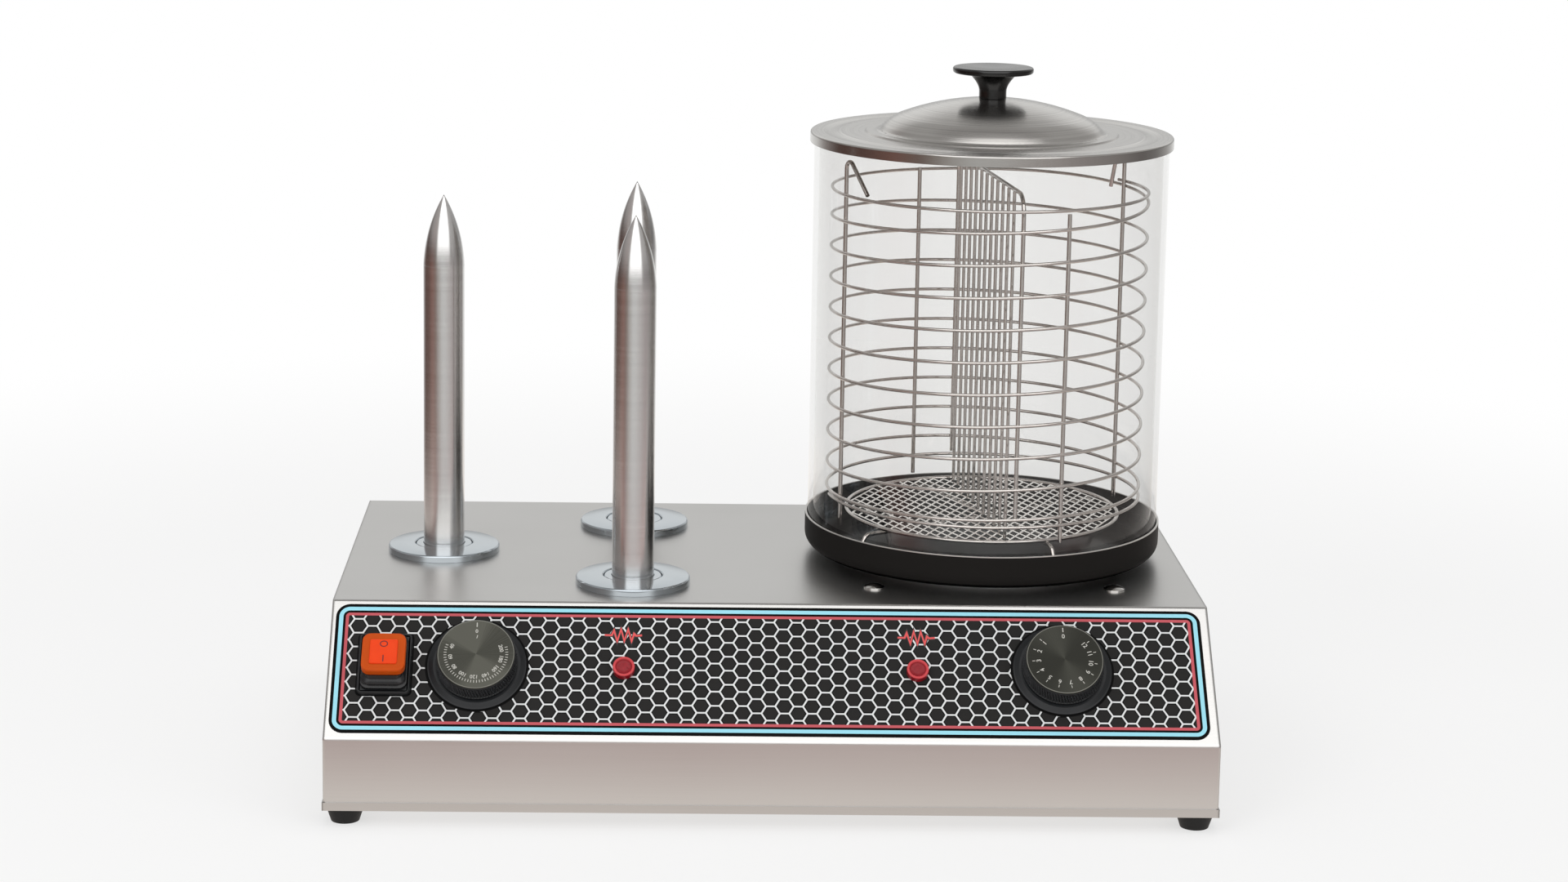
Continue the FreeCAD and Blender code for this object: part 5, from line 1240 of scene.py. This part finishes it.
def dial_ticks(name, count, first, step, radius, width, material, place):
    """Fine bars on a dial plate, from the first angle on."""
    pattern = Pattern(
        name,
        Count=count,
        First_angle=math.radians(first),
        Step=math.radians(step),
        Radius=radius * MM,
        Length=1.6 * MM,
        Width=width * MM,
        Height=DIAL_TOP * MM + 0.01 * MM,
    )
    bar = pattern.bar(pattern.size("Length"), pattern.size("Width"), 0.05 * MM)
    angle = pattern.size("First_angle") + pattern.index() * pattern.size("Step")
    spot = pattern.on_circle(pattern.size("Radius"), angle, pattern.size("Height"))
    points = pattern.row_of_points(pattern.size("Count"), spot)
    ticks = pattern.on_points(points, bar, pattern.vector(0, 0, angle))
    return pattern.bake([ticks], material, place)


# The print on each dial, in degrees from the top, anticlockwise, and in millimetres: the figures
# after the 0 with their first angle, step, radius and size, and the ticks' count, step, radius and
# width
DIALS = {
    "thermostat": {
        "across": THERMOSTAT_X, "figures": range(40, 201, 20), "first": 71, "step": 26.7,
        "radius": 14.3, "size": 3.1, "ticks": (41, 5.35, 17.3, 0.38),
    },
    "regulator": {
        "across": REGULATOR_X, "figures": range(1, 13), "first": 46.7, "step": 23.8,
        "radius": 14.6, "size": 3.7, "ticks": (12, 23.8, 17.6, 0.4),
    },
}


class STEAMER_OT_controls(bpy.types.Operator):
    """Build the thermostat's and the regulator's bezel, knurled knob, plate and figures"""

    bl_idname = "steamer.controls"
    bl_label = "Rotary controls"

    def execute(self, context):
        sizes = context.scene.steamer_controls
        foot, top = sizes.knob_radius / MM, sizes.knob_top_radius / MM
        bezel = [
            (5.4, 0.4), (27.9, 0.4, 0.1), (28.0, 0.95, 0.2), (27.2, 1.15, 0.15), (24.6, 2.55, 0.3),
            (22.6, 2.6, 0.2), (22.0, 1.9, 0.2), (5.4, 1.9), (5.4, 0.4),
        ]
        bezel = filleted(bezel, 0.2)[:-1]
        grip = [
            (3.02, 3.0), (7.0, 3.0), (7.0, 8.0), (19.0, 8.0), (19.4, 3.0, 0.3),
            (foot - 0.1, 3.0, 0.3), (foot - 0.05, 3.9, 0.1), (foot - 0.75, 4.2, 0.1),
            (top - 0.75, 12.0, 0.1), (top, 12.3, 0.1), (top, 12.9, 0.3), (top - 0.35, 13.2, 0.1),
            (0, 13.2), (0, 11.0), (3.02, 11.0), (3.02, 3.0),
        ]
        grip = filleted(grip, 0)[:-1]
        plate = [
            (0, 13.2), (21.75, 13.2, 0.1), (21.8, 13.7, 0.25), (21.4, DIAL_TOP, 0.15),
            (20.9, DIAL_TOP - 0.03), (0, DIAL_TOP),
        ]
        plate = filleted(plate, 0.1)
        for name, dial in DIALS.items():
            body = name + "_dial_set"
            place = on_panel(dial["across"])
            piece = lathed(name + "_ring", bezel, FINISHES["bezel_grey"], place, ring=True)
            kept(piece, "housing", "bezel_grey", name + "_bezel")
            piece = lathed(name + "_grip", grip, FINISHES["black_plastic"], place, 128, True)
            kept(piece, body, "black_plastic", name + "_knob")
            piece = knurl(name + "_knurl", sizes, 4.0, 12.5, FINISHES["knurl_plastic"], place)
            kept(piece, body, "black_plastic")
            piece = lathed(name + "_plate", plate, FINISHES[name + "_plate"], place, 128)
            kept(piece, body, "dial_plate", name + "_dial")
            self.figures(name, dial, body, place)
        return {"FINISHED"}

    def figures(self, name, dial, body, place):
        """Printed ticks and figures, and the stroke at the 0."""
        white = FINISHES["white_print"]
        count, step, reach, width = dial["ticks"]
        first = 90 + dial["first"]
        piece = dial_ticks(name + "_ticks", count, first, step, reach, width, white, place)
        kept(piece, body, "dial_plate")
        zero_radius = 14.4
        texts = [("0", 0.0, zero_radius)]
        for index, figure in enumerate(dial["figures"]):
            texts.append((str(figure), dial["first"] + dial["step"] * index, dial["radius"]))
        marks = []
        for text, angle, radius in texts:
            turn = math.radians(angle)
            marks.append((text, (-radius * math.sin(turn), radius * math.cos(turn)), turn))
        lift = DIAL_TOP + 0.02
        piece = lettered(name + "_figures", marks, dial["size"], white, place, lift)
        kept(piece, body, "dial_plate")
        shape = bmesh.new()
        ribbon(shape, [(0, 17.2), (0, 19.9)], 0.55, DIAL_TOP, 0.05)
        if name == "thermostat":
            ribbon(shape, [(0.5, 11.9), (0.1, 9.9)], 0.4, DIAL_TOP, 0.05)
        piece = finished(name + "_zero", shape, white, place)
        kept(piece, body, "dial_plate")


class STEAMER_OT_lamps(bpy.types.Operator):
    """Build the lamps' ringed lenses"""

    bl_idname = "steamer.lamps"
    bl_label = "Indicator lamps"

    def execute(self, context):
        lens = [
            (0, 0.4), (6.2, 0.4, 0.1), (6.2, 4.6, 0.6), (5.0, 4.6, 0.3), (4.2, 3.45, 0.3),
            (2.6, 3.3, 0.6), (0, 3.45),
        ]
        lens = filleted(lens, 0.2)
        for name in ("lamp_left", "lamp_right"):
            place = on_panel(middle_of(name + "_lens").x, LAMP_ROW)
            piece = lathed(name + "_glass", lens, FINISHES["lamp_red"], place, 64)
            kept(piece, "housing", "lamp_red", name + "_lens")
        return {"FINISHED"}


class STEAMER_OT_symbols(bpy.types.Operator):
    """Lay the red resistor symbols above the lamps"""

    bl_idname = "steamer.symbols"
    bl_label = "Heating symbols"

    def execute(self, context):
        zigzag = [
            (-10.6, 0.1), (-6.6, 0.0), (-5.3, 3.1), (-3.4, -3.8), (-1.3, 4.0), (0.6, -3.8),
            (2.7, 4.0), (4.7, -3.8), (6.1, 1.1), (7.3, -0.2), (10.6, 0.1),
        ]
        row = 66.6
        shape, border = bmesh.new(), bmesh.new()
        for across in (-83.95, 82.4):
            points = [(across + x, row + y) for x, y in zigzag]
            ribbon(shape, points, 1.15, 0.43, 0.03)
            ribbon(border, points, 2.3, 0.4, 0.02)
        place = on_panel(0, up=0)
        piece = finished("heating_symbols", shape, FINISHES["red_print"], place)
        kept(piece, "housing", "overlay_print")
        piece = finished("symbol_borders", border, FINISHES["black_print"], place)
        kept(piece, "housing", "overlay_print")
        return {"FINISHED"}


class STEAMER_OT_rack(bpy.types.Operator):
    """Weave the rack's expanded sheet from strands"""

    bl_idname = "steamer.rack"
    bl_label = "Rack sheet"

    def execute(self, context):
        sizes = context.scene.steamer_rack
        radius = (MESH_HIGH.x - MESH_LOW.x) / 2
        pattern = Pattern(
            "rack_sheet",
            Radius=radius,
            Across=sizes.pitch_across,
            Along=sizes.pitch_along,
            Strand=sizes.strand,
            Thickness=MESH_HIGH.z - MESH_LOW.z,
            Rows=int(radius * 2 / sizes.pitch_along) * 2 + 3,
            Columns=int(radius * 2 / sizes.pitch_across) + 3,
        )
        across, along = pattern.size("Across"), pattern.size("Along")
        columns, rows = pattern.size("Columns"), pattern.size("Rows")

        # Row and column of each point; every other row is shifted by half a diamond
        hair = 0.0001
        index = pattern.index()
        row = pattern.whole(index / columns + hair)
        column = index - row * columns
        odd = row - pattern.whole(row / 2 + hair) * 2
        x = (column - pattern.whole(columns / 2)) * across + odd * across / 2
        y = (row - pattern.whole(rows / 2)) * along / 2 + along / 4

        # Two strands to a point, leaning to either side, up to the sheet's edge
        reach_x, reach_y = across / 2, along / 2
        length = pattern.distance(reach_x, reach_y)
        overlap, slimmer, twist = 1.06, 0.7, math.radians(9)
        strands = []
        for side in (-1, 1):
            middle_x = x + reach_x * (side / 2)
            far = pattern.distance(middle_x, y) > pattern.size("Radius") - 0.8 * MM
            points = pattern.row_of_points(columns * rows, pattern.vector(middle_x, y, 0))
            inputs = {"Geometry": points, "Selection": far}
            points = pattern.node("DeleteGeometry", {"domain": "POINT"}, inputs).outputs[0]
            thickness = pattern.size("Thickness") * slimmer
            bar = pattern.bar(pattern.size("Strand"), length * overlap, thickness)
            bar = pattern.turned(bar, (0, twist * side, 0))
            lean = pattern.math("ARCTAN2", reach_x * side, reach_y)
            strands.append(pattern.on_points(points, bar, pattern.vector(0, 0, 0 - lean)))
        middle = Matrix.Translation((STEAMER.x, STEAMER.y, (MESH_LOW.z + MESH_HIGH.z) / 2))
        piece = pattern.bake(strands, FINISHES["mesh_steel"], middle)
        kept(piece, "rack", "wire_steel", "rack_mesh")
        return {"FINISHED"}


# What metal mirrors round the horizon: degrees to the right of the camera's side, and the colour
HORIZON = (
    (-180, (0.98, 0.98, 0.97)), (-152, (0.9, 0.9, 0.89)), (-136, (0.4, 0.36, 0.35)),
    (-118, (0.13, 0.08, 0.068)), (-90, (0.15, 0.08, 0.065)), (-67, (0.27, 0.14, 0.115)),
    (-48, (0.25, 0.185, 0.16)), (-30, (0.48, 0.455, 0.43)), (-13, (0.68, 0.685, 0.67)),
    (4, (0.68, 0.675, 0.66)), (21, (0.57, 0.545, 0.53)), (39, (0.51, 0.475, 0.465)),
    (57, (0.44, 0.405, 0.4)), (78, (0.36, 0.335, 0.325)), (102, (0.22, 0.205, 0.2)),
    (118, (0.28, 0.27, 0.265)), (136, (0.52, 0.51, 0.5)), (154, (0.9, 0.9, 0.89)),
    (180, (0.98, 0.98, 0.97)),
)


def horizon(tree, x, y):
    """The colour that metal mirrors near the horizon."""
    turn = tree.math("ARCTAN2", x, 0 - y) / (2 * math.pi) + 0.5
    return tree.ramp(turn, [(degrees / 360 + 0.5, colour) for degrees, colour in HORIZON])


class STEAMER_OT_stage(bpy.types.Operator):
    """Set up the floor, the light and the camera"""

    bl_idname = "steamer.stage"
    bl_label = "Stage"

    def execute(self, context):
        sizes = context.scene.steamer_stage
        self.floor()
        self.world(context)
        self.lamps(sizes)
        self.camera(context, sizes)
        context.scene.view_settings.view_transform = "Standard"
        return {"FINISHED"}

    def floor(self):
        """A wide floor: white where it is seen, with the shadow kept near the steamer.

        Metal mirrors its own tones: brown and grey in front of the steamer, and the horizon's
        further out.
        """
        finish = Finish("stage_floor", Roughness=0.85, Base_Color=(0.86, 0.86, 0.855))
        x, y, _ = finish.parts(finish.node("TexCoord").outputs["Object"])
        distance = finish.distance(x, y)
        ahead = FRONT_Y - y
        near = finish.mix(finish.step(ahead, 0.03, 0.2), (1.02, 0.95, 0.89), (0.56, 0.36, 0.34))
        near = finish.mix(finish.step(ahead, 0.2, 0.4), near, (0.64, 0.635, 0.63))
        mirrored = finish.mix(finish.step(distance, 0.5, 0.95), near, horizon(finish, x, y))
        glossy, seen = finish.rays()
        glow = finish.node("Emission", inputs={"Color": finish.mix(glossy, WHITE, mirrored)})
        far = finish.step(distance, 0.55, 1.3)
        share = finish.most(glossy, seen * (0.62 + far * 0.38))
        finish.mix_shaders(share, finish.shader, glow)
        shape = bmesh.new()
        bmesh.ops.create_grid(shape, x_segments=8, y_segments=8, size=6.0)
        finished("stage_floor", shape, finish.material)

    def world(self, context):
        """The studio round the steamer, plain white where it is seen directly."""
        world = bpy.data.worlds.new("studio")
        context.scene.world = world
        world.use_nodes = True
        room = Tree()
        room.tree = world.node_tree
        x, y, z = room.parts(room.node("ShaderNodeTexCoord").outputs["Generated"])
        degrees = 180 / math.pi
        high = room.math("ARCSINE", z) * degrees

        # The horizon, lighter just above except at the back and darker along it, then two greys
        lifted = room.step(high, 2, 9) * (1 - room.step(y, 0.4, 0.8)) * 0.65
        colour = room.mix(lifted, horizon(room, x, y), (0.56, 0.55, 0.54))
        colour = room.mix((1 - room.step(high, 5, 15)) * 0.42, colour, BLACK)
        colour = room.mix(room.step(high, 24, 42), colour, (0.5, 0.495, 0.485))
        colour = room.mix(room.step(high, 52, 68), colour, (0.36, 0.35, 0.345))

        # A bright soft box, from over the steamer to behind the camera
        over = room.math("ARCTAN2", z, y) * degrees
        box = room.step(over, 100, 104.5) * (1 - room.step(over, 166, 177))
        box = box * (1 - room.step(abs(x), 0.5, 0.7))
        colour = room.mix(box, colour, (1.98, 1.97, 1.96))
        glossy, seen = room.rays()
        soft = room.mix(seen, (0.62, 0.62, 0.62), WHITE)
        shown = room.mix(glossy, soft, colour)
        room.feed(room.tree.nodes["Background"].inputs["Color"], shown)

    def lamps(self, sizes):
        """Large soft lamps: a key at the upper left, a fill at the right and one overhead."""
        lamps = [
            ("key", (-1.5, -1.8, 1.9), 1.3, 1.0),
            ("fill", (1.9, -1.5, 1.1), 1.2, 0.45),
            ("overhead", (0.1, 0.2, 2.4), 1.6, 0.8),
        ]
        aim = Vector((0, 0, 0.15))
        for name, place, size, share in lamps:
            data = bpy.data.lights.new("stage_" + name, "AREA")
            data.size = size
            data.energy = sizes.light * share
            lamp = bpy.data.objects.new("stage_" + name, data)
            lamp.location = place
            lamp.rotation_euler = (aim - Vector(place)).to_track_quat("-Z", "Y").to_euler()
            lamp.visible_glossy = False
            bpy.context.scene.collection.objects.link(lamp)

    def camera(self, context, sizes):
        """The camera at the measured place, with the small shift of the framing."""
        data = bpy.data.cameras.new("stage_camera")
        data.sensor_width = 36.0
        data.lens = sizes.lens
        picture_width = 1920
        data.shift_x = 100 / picture_width
        data.shift_y = -200 / picture_width
        yaw, pitch, roll = sizes.camera_yaw, sizes.camera_pitch, sizes.camera_roll
        ahead = Vector(
            (math.sin(yaw) * math.cos(pitch), math.cos(yaw) * math.cos(pitch), -math.sin(pitch))
        )
        level = Vector((math.cos(yaw), -math.sin(yaw), 0))
        upward = level.cross(ahead)
        right = level * math.cos(roll) + upward * math.sin(roll)
        upward = upward * math.cos(roll) - level * math.sin(roll)
        turn = Matrix((right, upward, -ahead)).transposed()
        camera = bpy.data.objects.new("stage_camera", data)
        camera.matrix_world = Matrix.Translation(sizes.camera_place) @ turn.to_4x4()
        context.scene.collection.objects.link(camera)
        context.scene.camera = camera


# In the order in which they are run
OPERATORS = (
    STEAMER_OT_stage,
    STEAMER_OT_finishes,
    STEAMER_OT_spikes,
    STEAMER_OT_knob,
    STEAMER_OT_switch,
    STEAMER_OT_controls,
    STEAMER_OT_lamps,
    STEAMER_OT_symbols,
    STEAMER_OT_rack,
)


class STEAMER_PT_panel(bpy.types.Panel):
    """The steamer's operators and sizes"""

    bl_idname = "STEAMER_PT_panel"
    bl_label = "Hot dog steamer"
    bl_space_type = "VIEW_3D"
    bl_region_type = "UI"
    bl_category = "Steamer"

    def draw(self, context):
        for operator in OPERATORS:
            self.layout.operator(operator.bl_idname)
        for name in GROUPS:
            box = self.layout.box()
            group = getattr(context.scene, name)
            for key in group.__annotations__:
                box.prop(group, key)


CLASSES = (*GROUPS.values(), *OPERATORS, STEAMER_PT_panel)


def register():
    """Make the classes and the scene's sizes known."""
    for item in CLASSES:
        bpy.utils.register_class(item)
    for name, group in GROUPS.items():
        setattr(bpy.types.Scene, name, PointerProperty(type=group))


def unregister():
    """Take them away again."""
    for name in GROUPS:
        delattr(bpy.types.Scene, name)
    for item in reversed(CLASSES):
        bpy.utils.unregister_class(item)


def main():
    """Build everything in order."""
    register()
    for operator in OPERATORS:
        group, name = operator.bl_idname.split(".")
        getattr(getattr(bpy.ops, group), name)()
    bpy.context.view_layer.update()


if __name__ == "__main__":
    main()
